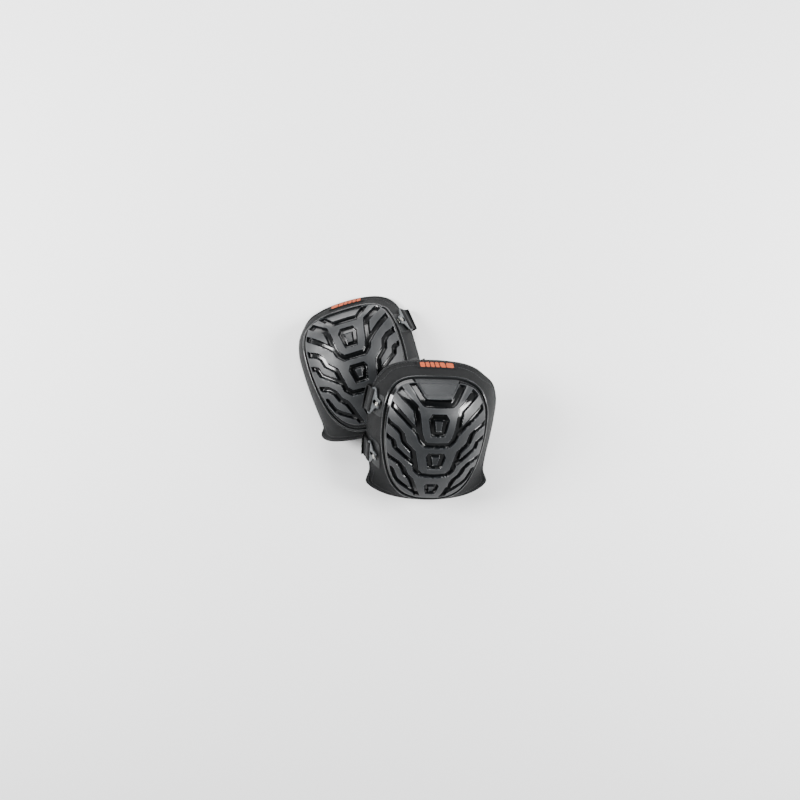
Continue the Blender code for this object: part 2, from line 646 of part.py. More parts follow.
def main():
    for obj in list(bpy.data.objects):
        bpy.data.objects.remove(obj, do_unlink=True)
    left = build_pad("left", 1, 0.0)
    right = build_pad("right", -1, RIGHT_STRAP_SAG)
    left.location = (*LEFT_PLACE, 0)
    left.rotation_euler = (0, 0, LEFT_HEADING)
    right.location = (*RIGHT_PLACE, 0)
    turn = Matrix.Rotation(RIGHT_HEADING, 3, "Z") @ Matrix.Rotation(RIGHT_PITCH, 3, "X")
    right.rotation_euler = (turn @ Matrix.Rotation(RIGHT_ROLL, 3, "Y")).to_euler()
    bpy.context.view_layer.update()
    settle(left, right)


main()
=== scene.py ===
"""A pair of strap-on gel knee pads for roofers: one lies flat and the other leans on it.

Each pad is a moulded tread cap sewn on a padded fabric body, held by two webbing straps that hook
on studs. The pads are mirror images. Lengths are in metres, except in the tread's pattern.
"""

import json
import logging
import math
from dataclasses import dataclass, field
from enum import Enum
from typing import Callable, Sequence

import bpy
import numpy as np
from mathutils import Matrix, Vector

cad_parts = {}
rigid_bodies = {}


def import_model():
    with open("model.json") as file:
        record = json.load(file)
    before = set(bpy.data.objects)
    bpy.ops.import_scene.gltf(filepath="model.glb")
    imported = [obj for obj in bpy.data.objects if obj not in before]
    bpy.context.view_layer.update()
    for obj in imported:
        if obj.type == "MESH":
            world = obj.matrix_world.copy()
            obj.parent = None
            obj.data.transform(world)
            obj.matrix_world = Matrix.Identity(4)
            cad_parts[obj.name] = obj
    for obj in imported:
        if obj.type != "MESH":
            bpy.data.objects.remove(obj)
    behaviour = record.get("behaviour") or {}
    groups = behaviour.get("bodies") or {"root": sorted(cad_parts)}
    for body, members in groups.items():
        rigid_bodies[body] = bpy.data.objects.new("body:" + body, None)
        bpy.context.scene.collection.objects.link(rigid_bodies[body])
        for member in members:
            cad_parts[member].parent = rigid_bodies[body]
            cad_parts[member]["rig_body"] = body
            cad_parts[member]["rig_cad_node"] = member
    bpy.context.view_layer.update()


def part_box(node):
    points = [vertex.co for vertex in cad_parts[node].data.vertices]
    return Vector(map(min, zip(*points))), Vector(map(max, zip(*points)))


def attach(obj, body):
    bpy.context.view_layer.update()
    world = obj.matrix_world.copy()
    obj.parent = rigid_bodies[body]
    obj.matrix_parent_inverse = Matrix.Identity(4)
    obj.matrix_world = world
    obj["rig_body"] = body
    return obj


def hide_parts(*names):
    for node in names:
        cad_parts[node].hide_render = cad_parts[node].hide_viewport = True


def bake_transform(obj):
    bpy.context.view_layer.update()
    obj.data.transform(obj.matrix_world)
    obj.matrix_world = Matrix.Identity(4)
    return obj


log = logging.getLogger("knee_pads")

Array = np.ndarray
Object = bpy.types.Object
Node = bpy.types.Node
Tree = bpy.types.NodeTree
Place = Callable[[Array, Array], Array]
Section = Callable[[Array], Array]

# Stations along the body, bottom edge first. The centre line's y and z, then the hem's x, y and z,
# as shares of the length, half width and depth.
STATIONS = np.array([
    (-0.446, -0.36, 0.970, -0.339, -0.62),
    (-0.376, -0.22, 0.925, -0.280, -0.78),
    (-0.235, -0.10, 0.960, -0.180, -0.95),
    (0.000, 0.00, 1.000, 0.015, -1.00),
    (0.240, -0.05, 1.000, 0.240, -1.00),
    (0.371, -0.26, 0.945, 0.357, -1.00),
    (0.460, -0.63, 0.875, 0.422, -1.00),
    (0.566, -0.97, 0.790, 0.465, -1.00),
])
MM = 0.001
# The gap that the frame leaves between pieces that are sewn or glued.
GAP = 0.0003
# A small step across or along the cover, from which its slope is measured.
STEP = 1e-4
# Corners nearer than this are one.
MERGE = 2e-6
# How many directions a ring round the pad is worked out in.
AROUND = 2880


class Side(Enum):
    """Which knee a pad is for."""

    LEFT = "left"
    RIGHT = "right"

    @property
    def hand(self) -> int:
        """1 for the left pad, whose studs are at +X, and -1 for its mirror image."""
        return 1 if self is Side.LEFT else -1


class Level(Enum):
    """Which of a pad's two straps a piece belongs to."""

    UPPER = "upper"
    LOWER = "lower"


# ---------------------------------------------------------------- modelling by operators


def select_only(objects: Sequence[Object]) -> None:
    """Select these objects alone, the first of them active.

    Args:
        objects: the objects that the next operator acts on.
    """
    bpy.ops.object.select_all(action="DESELECT")
    for obj in objects:
        obj.select_set(True)
    bpy.context.view_layer.objects.active = objects[0]


def edit_mode(obj: Object, select: bool = True) -> None:
    """Open an object in edit mode.

    Args:
        obj: the object.
        select: whether all of it is selected, or none of it.
    """
    select_only([obj])
    bpy.ops.object.mode_set(mode="EDIT")
    bpy.ops.mesh.select_mode(type="VERT")
    bpy.ops.mesh.select_all(action="SELECT" if select else "DESELECT")


def object_mode() -> None:
    """Leave edit mode."""
    bpy.ops.object.mode_set(mode="OBJECT")


def grid_piece(name: str, cells: tuple[int, int], place: Place, weave: Place | None = None,
               marks: dict[str, Place] | None = None) -> Object:
    """Add a grid and draw it over a surface.

    Args:
        name: the piece's name.
        cells: how many cells the grid has each way.
        place: where a corner goes, from its two coordinates between -1 and 1.
        weave: the cloth's own coordinates at a corner, in metres, for the UV map.
        marks: values to keep at each corner for the material, by name.

    Returns:
        The grid, open at its edges.
    """
    bpy.ops.object.select_all(action="DESELECT")
    bpy.ops.mesh.primitive_grid_add(x_subdivisions=cells[0], y_subdivisions=cells[1], size=2)
    obj = bpy.context.object
    obj.name = obj.data.name = name
    mesh = obj.data
    flat = np.empty(len(mesh.vertices) * 3)
    mesh.vertices.foreach_get("co", flat)
    u, v = (np.clip(flat.reshape(-1, 3)[:, k], -1, 1) for k in (0, 1))
    for title, value in (marks or {}).items():
        mark = mesh.attributes.new(title, "FLOAT", "POINT")
        mark.data.foreach_set("value", value(u, v).astype(np.float32))
    if weave is not None:
        corner = np.empty(len(mesh.loops), int)
        mesh.loops.foreach_get("vertex_index", corner)
        mesh.uv_layers.active.data.foreach_set("uv", weave(u, v)[corner].astype(np.float32).ravel())
    mesh.vertices.foreach_set("co", np.ascontiguousarray(place(u, v), float).ravel())
    mesh.update()
    return obj


def finish_shell(obj: Object, smooth: float = 40) -> Object:
    """Merge a shell's seams, fill its ends, turn its faces out and shade it.

    Args:
        obj: the shell.
        smooth: the angle in degrees past which an edge stays sharp.

    Returns:
        The same object.
    """
    edit_mode(obj)
    bpy.ops.mesh.remove_doubles(threshold=MERGE)
    bpy.ops.mesh.fill_holes(sides=0)
    bpy.ops.mesh.select_all(action="SELECT")
    bpy.ops.mesh.normals_make_consistent(inside=False)
    object_mode()
    bpy.ops.object.shade_smooth_by_angle(angle=math.radians(smooth))
    return obj


def closed_layer(upper: Object, lower: Object, smooth: float = 40) -> Object:
    """Join an upper and a lower grid into one closed shell, bridged round their edges.

    Args:
        upper: the grid that keeps its name.
        lower: the other one, with as many corners on its edge or fewer.
        smooth: the angle in degrees past which an edge stays sharp.

    Returns:
        The shell.
    """
    select_only([upper, lower])
    bpy.ops.object.join()
    edit_mode(upper, select=False)
    bpy.ops.mesh.select_non_manifold(extend=False, use_wire=False, use_boundary=True, use_verts=False,
                                     use_multi_face=False, use_non_contiguous=False)
    bpy.ops.mesh.select_mode(type="EDGE")
    bpy.ops.mesh.bridge_edge_loops()
    object_mode()
    return finish_shell(upper, smooth)


def softened_copy(node: Object, name: str, width: float, segments: int = 3) -> Object:
    """A copy of a frame node with its corners rounded, as a moulded or stamped piece has them.

    Args:
        node: the frame's node.
        name: the copy's name.
        width: the width of the rounding.
        segments: how many faces cross it.

    Returns:
        The new piece.
    """
    obj = node.copy()
    obj.data = node.data.copy()
    obj.parent = None
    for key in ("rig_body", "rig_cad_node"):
        del obj[key]
    obj.name = obj.data.name = name
    bpy.context.scene.collection.objects.link(obj)
    edit_mode(obj)
    bpy.ops.mesh.remove_doubles(threshold=MERGE * 5)
    bpy.ops.mesh.dissolve_limited(angle_limit=math.radians(2))
    object_mode()
    bevel = obj.modifiers.new("rounding", "BEVEL")
    bevel.width = width
    bevel.segments = segments
    bevel.limit_method = "ANGLE"
    bevel.angle_limit = math.radians(35)
    bpy.ops.object.modifier_apply(modifier=bevel.name)
    bpy.ops.object.shade_smooth_by_angle(angle=math.radians(35))
    return obj


def even(points: Array, count: int, closed: bool = False) -> Array:
    """A line's points again, the same distance apart all along it.

    Args:
        points: the line.
        count: how many stretches the result has.
        closed: whether the last point is the first one again.

    Returns:
        count + 1 points.
    """
    if closed:
        points = np.vstack([points, points[:1]])
    run = np.concatenate([[0], np.cumsum(np.linalg.norm(np.diff(points, axis=0), axis=1))])
    spots = np.linspace(0, run[-1], count + 1)
    return np.stack([np.interp(spots, run, points[:, k]) for k in range(points.shape[1])], axis=1)


def unit(vectors: Array) -> Array:
    """Vectors made one long."""
    return vectors / np.linalg.norm(vectors, axis=-1, keepdims=True)


@dataclass
class Path:
    """A line for a section to follow, with the section's two directions at each point."""

    centres: Array
    sides: Array
    outs: Array

    @property
    def length(self) -> float:
        """How long the line is."""
        return float(np.linalg.norm(np.diff(self.centres, axis=0), axis=1).sum())


def swept(name: str, path: Path, section: Section, around: int) -> Object:
    """A section carried along a path.

    Args:
        name: the piece's name.
        path: the line that it follows, which may end where it starts.
        section: the section's side and out offsets at turns from -1 to 1.
        around: how many faces go round the section.

    Returns:
        The closed piece, whose UV map runs round the section and along the path, in metres.
    """
    steps = len(path.centres) - 1
    outline = section(np.linspace(-1, 1, around + 1))
    girth = float(np.linalg.norm(np.diff(outline, axis=0), axis=1).sum())

    def place(u: Array, v: Array) -> Array:
        """A corner of the swept grid."""
        row = np.rint((v + 1) / 2 * steps).astype(int)
        offsets = section(u)
        return path.centres[row] + offsets[:, :1] * path.sides[row] + offsets[:, 1:] * path.outs[row]

    def weave(u: Array, v: Array) -> Array:
        """Metres round the section and along the path."""
        return np.stack([u * girth / 2, v * path.length / 2], axis=1)

    return finish_shell(grid_piece(name, (around, steps), place, weave), 50)


def round_section(radius: float) -> Section:
    """A round section."""
    return lambda turn: radius * np.stack([np.cos(math.pi * turn), np.sin(math.pi * turn)], axis=1)


def webbing_section(width: float, thickness: float, rib: float, relief: float) -> Section:
    """A flat woven strap's section: rounded edges, and ribs that run along it.

    Args:
        width: the strap's width.
        thickness: its thickness over the ribs.
        rib: the distance from rib to rib.
        relief: how deep the weave sinks between two ribs.

    Returns:
        A function that gives side and out offsets at turns from -1 to 1.
    """
    def offsets(turn: Array) -> Array:
        """The section's side and out offsets."""
        quarter = turn * 2
        top = np.abs(turn) <= 0.5
        across = np.where(top, quarter, np.sign(turn) * (2 - np.abs(quarter)))
        side = across * width / 2
        past = np.clip((np.abs(side) - width / 2 + thickness / 2) / (thickness / 2), 0, 1)
        edge = np.sqrt(1 - past**2)
        ribs = relief * (0.5 - 0.5 * np.cos(2 * math.pi * side / rib))
        return np.stack([side, np.where(top, 1, -1) * (thickness / 2 - ribs) * edge], axis=1)

    return offsets


@dataclass(frozen=True)
class Stitch:
    """A seam's thread stitches: the length, width, distance apart and lift of their middles."""

    length: float = 0.0032
    width: float = 0.0008
    pitch: float = 0.0042
    lift: float = 0.0001


def stitch_run(name: str, path: Path, sewn: Stitch) -> Object:
    """A line of thread stitches, each a short rounded dash.

    Args:
        name: the piece's name.
        path: the seam; outs point away from the cloth.
        sewn: the stitches.

    Returns:
        All the stitches as one piece.
    """
    count = max(2, int(path.length / sewn.pitch))
    middles = even(path.centres, count)
    rows = np.rint(np.linspace(0, len(path.centres) - 1, count + 1)).astype(int)
    bpy.ops.object.select_all(action="DESELECT")
    bpy.ops.mesh.primitive_uv_sphere_add(segments=8, ring_count=6, radius=0.5)
    bpy.ops.object.mode_set(mode="EDIT")
    bpy.ops.mesh.select_all(action="SELECT")
    bpy.ops.transform.resize(value=(sewn.length, sewn.width, sewn.width * 0.8))
    object_mode()
    stitch = bpy.context.object
    shape = np.array([v.co for v in stitch.data.vertices])
    faces = [tuple(p.vertices) for p in stitch.data.polygons]
    points, polygons = [], []
    for k in range(count):
        middle = (middles[k] + middles[k + 1]) / 2
        run = unit(middles[k + 1] - middles[k])
        out = path.outs[rows[k]]
        side = unit(np.cross(out, run))
        out = np.cross(run, side)
        points.append(middle + out * sewn.lift + shape @ np.array([run, side, out]))
        polygons += [tuple(i + k * len(shape) for i in face) for face in faces]
    mesh = bpy.data.meshes.new(name)
    mesh.from_pydata(np.vstack(points).tolist(), [], polygons)
    mesh.shade_smooth()
    bpy.data.objects.remove(stitch)
    obj = bpy.data.objects.new(name, mesh)
    bpy.context.scene.collection.objects.link(obj)
    return obj


# ---------------------------------------------------------------- finishes


def linear(code: str) -> tuple[float, float, float, float]:
    """A colour's linear values, from its sRGB hex code."""
    parts = [int(code[k:k + 2], 16) / 255 for k in (1, 3, 5)]
    return (*[p / 12.92 if p <= 0.04045 else ((p + 0.055) / 1.055) ** 2.4 for p in parts], 1.0)


def feed(tree: Tree, node: Node, inputs: dict) -> None:
    """Set and link a node's inputs.

    Args:
        tree: the node tree.
        node: the node.
        inputs: sockets by name or number, each with a value, the socket that feeds it, or a node
            whose first output does.
    """
    for key, value in inputs.items():
        source = value.outputs[0] if isinstance(value, Node) else value
        if isinstance(source, bpy.types.NodeSocket):
            tree.links.new(source, node.inputs[key])
        else:
            node.inputs[key].default_value = source


def add_node(tree: Tree, kind: str, inputs: dict | None = None, **settings: object) -> Node:
    """Add a node with its settings and what feeds it.

    Args:
        tree: the node tree.
        kind: the node's type name, from after ShaderNode.
        inputs: what its inputs get, as feed takes it.
        settings: the node's own properties.

    Returns:
        The node.
    """
    made = tree.nodes.new("ShaderNode" + kind)
    for key, value in settings.items():
        setattr(made, key, value)
    feed(tree, made, inputs or {})
    return made


@dataclass(frozen=True)
class Finish:
    """What every finish has: a colour, how it varies, and how rough it is."""

    name: str
    colour: str
    roughness: float
    ior: float = 1.5
    metallic: float = 0.0
    sheen: float = 0.0
    specular: float = 0.5
    mottle: float = 0.15
    mottle_size: float = 0.02

    def material(self) -> bpy.types.Material:
        """The finish's material, made once and shared by its pieces."""
        known = bpy.data.materials.get(self.name)
        if known is not None:
            return known
        made = bpy.data.materials.new(self.name)
        made.use_nodes = True
        tree = made.node_tree
        shader = tree.nodes["Principled BSDF"]
        feed(tree, shader, {"IOR": self.ior, "Metallic": self.metallic, "Sheen Weight": self.sheen,
                            "Specular IOR Level": self.specular, "Sheen Roughness": 0.5})
        self.dress(tree, shader)
        return made

    def patches(self, tree: Tree, size: float, low: float, high: float, detail: float = 5.0,
                strength: float = 0.5) -> Node:
        """A value that drifts over the piece in cloudy patches.

        Args:
            tree: the material's node tree.
            size: how large a patch is.
            low: the value in the thinnest patches.
            high: the value in the thickest ones.
            detail: how many finer layers the clouds have.
            strength: how strong each finer layer is.

        Returns:
            The node that gives the value.
        """
        spots = add_node(tree, "TexCoord").outputs["Object"]
        cloud = add_node(tree, "TexNoise", {"Vector": spots, "Scale": 1 / size, "Detail": detail,
                                            "Roughness": strength})
        return add_node(tree, "MapRange", {"Value": cloud, "From Min": 0.3, "From Max": 0.7,
                                           "To Min": low, "To Max": high})

    def tone(self, tree: Tree, base: Node | bpy.types.NodeSocket | tuple) -> Node:
        """The base colour, a little lighter and darker in patches as dust and handling leave it."""
        span = self.patches(tree, self.mottle_size, 1 - self.mottle, 1 + self.mottle, strength=0.6)
        return add_node(tree, "VectorMath", {0: base, "Scale": span}, operation="SCALE")

    def dress(self, tree: Tree, shader: Node) -> None:
        """Link the finish's own colour, roughness and relief to the shader."""
        raise NotImplementedError


@dataclass(frozen=True)
class MouldedPvc(Finish):
    """Injection-moulded soft PVC: satin on the tread, polished in the grooves, fine spark grain, with painted
    shade in the grooves and a painted highlight along the plates' edges.
    """

    # Near-black colour of the grooves, flange and bosses: painted shade, since they are the same PVC as the
    # tread.
    groove_shade_colour: str = "#050607"
    groove_roughness: float = 0.13
    # Lighter colour painted along the plates' edges as a painted highlight, broken up by noise of this size.
    edge_lit_colour: str = "#3a3d40"
    highlight_breakup_size: float = 0.00556
    haze_size: float = 0.01667
    grain: float = 0.0007
    grain_depth: float = 0.00006

    def dress(self, tree: Tree, shader: Node) -> None:
        """Blend tread and groove by the corners' own marks, darkening the grooves as painted shade and
        lightening the plates' edges as a painted highlight, and add the grain.
        """
        groove, edge_highlight = (add_node(tree, "Attribute", attribute_name=mark).outputs["Fac"]
                        for mark in ("groove", "edge_highlight"))
        spots = add_node(tree, "TexCoord").outputs["Object"]
        # A lighter colour painted in a band along the plates' edges, broken up by noise: a painted highlight.
        highlight_breakup = add_node(tree, "TexNoise", {"Vector": spots, "Scale": 1 / self.highlight_breakup_size, "Detail": 6.0})
        edge_lit = add_node(tree, "Math", {0: edge_highlight, 1: highlight_breakup}, operation="MULTIPLY")
        # Sockets 6 and 7 are the two colours that a Mix node blends, and its output 2 is the result.
        # The groove mark blends in the near-black groove colour, painted shade in the recesses.
        both = add_node(tree, "Mix", {"Factor": groove, 6: linear(self.colour),
                                      7: linear(self.groove_shade_colour)}, data_type="RGBA")
        with_highlight = add_node(tree, "Mix", {"Factor": edge_lit, 6: both.outputs[2],
                                         7: linear(self.edge_lit_colour)}, data_type="RGBA")
        satin = self.patches(tree, self.haze_size, self.roughness - 0.05, self.roughness + 0.07, 4.0)
        rough = add_node(tree, "Mix", {"Factor": groove, "A": satin, "B": self.groove_roughness})
        grains = add_node(tree, "TexVoronoi", {"Vector": spots, "Scale": 1 / self.grain})
        plate = add_node(tree, "Math", {0: 1.0, 1: groove}, operation="SUBTRACT")
        bump = add_node(tree, "Bump", {"Height": grains, "Strength": plate, "Distance": self.grain_depth})
        feed(tree, shader, {"Base Color": self.tone(tree, with_highlight.outputs[2]), "Roughness": rough,
                            "Normal": bump})


@dataclass(frozen=True)
class Plastic(Finish):
    """A moulded plastic or plated part with faint flow haze and dust in its surface."""

    haze: float = 0.06
    haze_size: float = 0.00833
    grain: float = 0.0008
    grain_depth: float = 0.00003

    def dress(self, tree: Tree, shader: Node) -> None:
        """A mottled colour, a hazed gloss and fine grain."""
        satin = self.patches(tree, self.haze_size, self.roughness - self.haze, self.roughness + self.haze)
        spots = add_node(tree, "TexCoord").outputs["Object"]
        fine = add_node(tree, "TexNoise", {"Vector": spots, "Scale": 1 / self.grain, "Detail": 2.0})
        bump = add_node(tree, "Bump", {"Height": fine, "Strength": 0.6, "Distance": self.grain_depth})
        feed(tree, shader, {"Base Color": self.tone(tree, linear(self.colour)[:3]), "Roughness": satin,
                            "Normal": bump})


class Weave(Enum):
    """How a cloth is made, which sets the pattern of its threads."""

    PLAIN = "plain"
    TWILL = "twill"
    RIBBED = "ribbed"
    AIR_MESH = "air mesh"


@dataclass(frozen=True)
class Cloth(Finish):
    """Woven or knitted cloth, its threads drawn from the piece's own UV map in metres."""

    weave: Weave = Weave.PLAIN
    thread: float = 0.0012
    depth: float = 0.00012
    contrast: float = 0.35
    lint_size: float = 0.00111

    def threads(self, tree: Tree) -> Node:
        """The height of the threads, or of the mesh's cells."""
        sheet = add_node(tree, "TexCoord").outputs["UV"]
        if self.weave is Weave.AIR_MESH:
            cells = add_node(tree, "TexVoronoi", {"Vector": sheet, "Scale": 1 / self.thread,
                                                  "Randomness": 0.25}, voronoi_dimensions="2D")
            return add_node(tree, "MapRange", {"Value": cells, "From Min": 0.2, "From Max": 0.5})
        laid = add_node(tree, "Mapping", {"Vector": sheet})
        if self.weave is Weave.TWILL:
            laid.inputs["Rotation"].default_value = (0, 0, math.radians(45))
        lines = {}
        ribs = 0.45 if self.weave is Weave.RIBBED else 1.0
        for socket, axis, stretch in ((0, "X", 1.0), (1, "Y", ribs)):
            # At a scale of 1 a wave texture has 20 bands in 2 pi metres.
            wave = {"Vector": laid, "Scale": math.pi / self.thread * stretch / 10, "Distortion": 0.4,
                    "Detail": 1.0, "Detail Scale": 2.0}
            lines[socket] = add_node(tree, "TexWave", wave, bands_direction=axis).outputs["Fac"]
        return add_node(tree, "Math", lines, operation="MULTIPLY")

    def dress(self, tree: Tree, shader: Node) -> None:
        """Threads in relief and in colour, over a mottled base."""
        height = self.threads(tree)
        shade = add_node(tree, "MapRange", {"Value": height, "To Min": 1 - self.contrast,
                                            "To Max": 1 + self.contrast * 0.4})
        thread = add_node(tree, "VectorMath", {0: linear(self.colour)[:3], "Scale": shade},
                          operation="SCALE")
        spots = add_node(tree, "TexCoord").outputs["Object"]
        fluff = add_node(tree, "TexNoise", {"Vector": spots, "Scale": 1 / self.lint_size, "Detail": 3.0})
        rough = add_node(tree, "MapRange", {"Value": fluff, "To Min": self.roughness - 0.08,
                                            "To Max": self.roughness + 0.08})
        lint = add_node(tree, "Math", {0: height, 1: fluff}, operation="ADD")
        bump = add_node(tree, "Bump", {"Height": lint, "Strength": 0.8, "Distance": self.depth})
        feed(tree, shader, {"Base Color": self.tone(tree, thread), "Roughness": rough, "Normal": bump})


@dataclass(frozen=True)
class Gel(Finish):
    """Clear tinted silicone gel, which lets light into its body."""

    def dress(self, tree: Tree, shader: Node) -> None:
        """A mottled tint with light scattered under the skin."""
        feed(tree, shader, {"Base Color": self.tone(tree, linear(self.colour)[:3]),
                            "Roughness": self.roughness, "Subsurface Weight": 0.4,
                            "Subsurface Radius": (0.004, 0.006, 0.010)})


# Soft PVC, injection moulded: a dark satin tread over grooves that the polished mould left glossy. The
# grooves, flange and bosses are painted darker than the tread as painted shade, and the plates' edges lighter
# as a painted highlight.
# The mould's spark grain is about 0.2 mm and is drawn at 0.7 mm, so that it shows.
CAP_PVC = MouldedPvc("moulded_cap_pvc", "#1b1d1f", 0.46, ior=1.53, mottle=0.10)
# Extruded PVC piping: glossier than the tread, and the line that catches the light.
PIPING_PVC = Plastic("piping_pvc", "#151718", 0.20, ior=1.53, mottle=0.08)
# Nylon oxford cloth laminated on foam: matt dark grey, with a plain weave and a faint sheen. Its
# threads are about 0.5 mm apart and are drawn at 1.4 mm, so that they show.
COVER_CLOTH = Cloth("cover_oxford_nylon", "#111213", 0.74, sheen=0.03, specular=0.2, thread=0.0014,
                    depth=0.00018)
# Polyester air mesh against the leg: a black, open knit with cells about 3 mm wide.
LINING_MESH = Cloth("lining_air_mesh", "#151617", 0.85, sheen=0.05, specular=0.2, weave=Weave.AIR_MESH,
                    thread=0.0032, depth=0.0006, contrast=0.55)
# Ribbed polyester binding tape folded over the raw edge: matt, its ribs about 1 mm apart.
BINDING_TAPE = Cloth("binding_grosgrain_tape", "#131415", 0.7, sheen=0.05, specular=0.2,
                     weave=Weave.RIBBED, thread=0.0011)
# Elastic polypropylene webbing, woven in ribs: matt black with a soft sheen on each thread.
WEBBING = Cloth("strap_elastic_webbing", "#131415", 0.72, sheen=0.05, specular=0.2,
                weave=Weave.RIBBED, thread=0.0016, depth=0.0002)
# PVC-coated twill, which keeps the stud and the strap ends from tearing out: smoother than the
# cover and a little shinier.
PATCH_CLOTH = Cloth("reinforcing_coated_cloth", "#181a1b", 0.5, specular=0.3, weave=Weave.TWILL,
                    thread=0.0013)
# Bonded polyester sewing thread: a dull grey shine, its twist drawn at 0.9 mm so that it shows.
THREAD = Cloth("bonded_sewing_thread", "#26282a", 0.5, weave=Weave.TWILL, thread=0.0009, contrast=0.3)
# Damask-woven label: a black ground with raised orange yarn.
LABEL_GROUND = Cloth("label_black_damask", "#0e0f10", 0.7, specular=0.2, weave=Weave.TWILL, thread=0.0010)
LABEL_YARN = Cloth("label_orange_yarn", "#a8420a", 0.6, weave=Weave.RIBBED, thread=0.0012, contrast=0.25)
# Closed-cell EVA foam, skived thin at the hem: dead matt and finely pitted.
EVA_FOAM = Plastic("eva_foam", "#3c3f41", 0.9, grain=0.0012, grain_depth=0.0003)
# Silicone gel pad, poured in a mould: clear blue with a soft gloss, lit from inside.
GEL_PAD = Gel("silicone_gel", "#2a5a86", 0.25, ior=1.41)
# Acetal clip: hard, grey and slightly waxy.
CLIP_ACETAL = Plastic("clip_acetal", "#3c3f41", 0.30, ior=1.48)
# Acetal slider, moulded: black with a waxy gloss.
SLIDER_ACETAL = Plastic("slider_acetal", "#17191a", 0.32, ior=1.48)
# Nickel-plated brass stud, turned and tumbled: bright, with soft-edged reflections.
STUD_NICKEL = Plastic("stud_nickel_plate", "#8e8d88", 0.22, metallic=1.0, mottle=0.05)


def dress(obj: Object, finish: Finish, slot: str, body: str | None, *nodes: str) -> Object:
    """Give a piece its finish, its body and the frame nodes that it stands for.

    Args:
        obj: the piece.
        finish: what it is made of.
        slot: the record's material slot; not used.
        body: the body that it rides on, or None where it blends between two.
        nodes: the frame's nodes that it replaces.

    Returns:
        The same object.
    """
    obj.data.materials.clear()
    obj.data.materials.append(finish.material())
    if body is not None:
        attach(obj, body)
    if nodes:
        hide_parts(*nodes)
    log.info("%s: %d faces, %s", obj.name, len(obj.data.polygons), finish.name)
    return obj


# ---------------------------------------------------------------- the pad's surface


def spline(rows: Array, position: Array) -> Array:
    """A smooth curve through rows of numbers.

    Args:
        rows: what the curve passes through.
        position: where it is read, counted in rows from 0.

    Returns:
        A row for each position.
    """
    rows = np.vstack([2 * rows[0] - rows[1], rows, 2 * rows[-1] - rows[-2]])
    start = np.clip(np.floor(position).astype(int), 0, len(rows) - 4)
    f = (position - start)[..., None]
    a, b, c, d = (rows[start + k] for k in range(4))
    bend, twist = 2 * a - 5 * b + 4 * c - d, 3 * b - a - 3 * c + d
    return 0.5 * (2 * b + (c - a) * f + bend * f**2 + twist * f**3)


def directions(count: int = AROUND) -> Array:
    """Angles all the way round, evenly spaced."""
    return np.arange(count) * 2 * math.pi / count


def outline(angle: Array, squareness: Array | float) -> tuple[Array, Array]:
    """A rounded square of half side 1 round its centre.

    Args:
        angle: directions from the centre.
        squareness: 2 for a circle, and more for squarer corners.

    Returns:
        The outline's two coordinates in each direction.
    """
    c, s = np.cos(angle), np.sin(angle)
    reach = (np.abs(c) ** squareness + np.abs(s) ** squareness) ** (-1 / squareness)
    return c * reach, s * reach


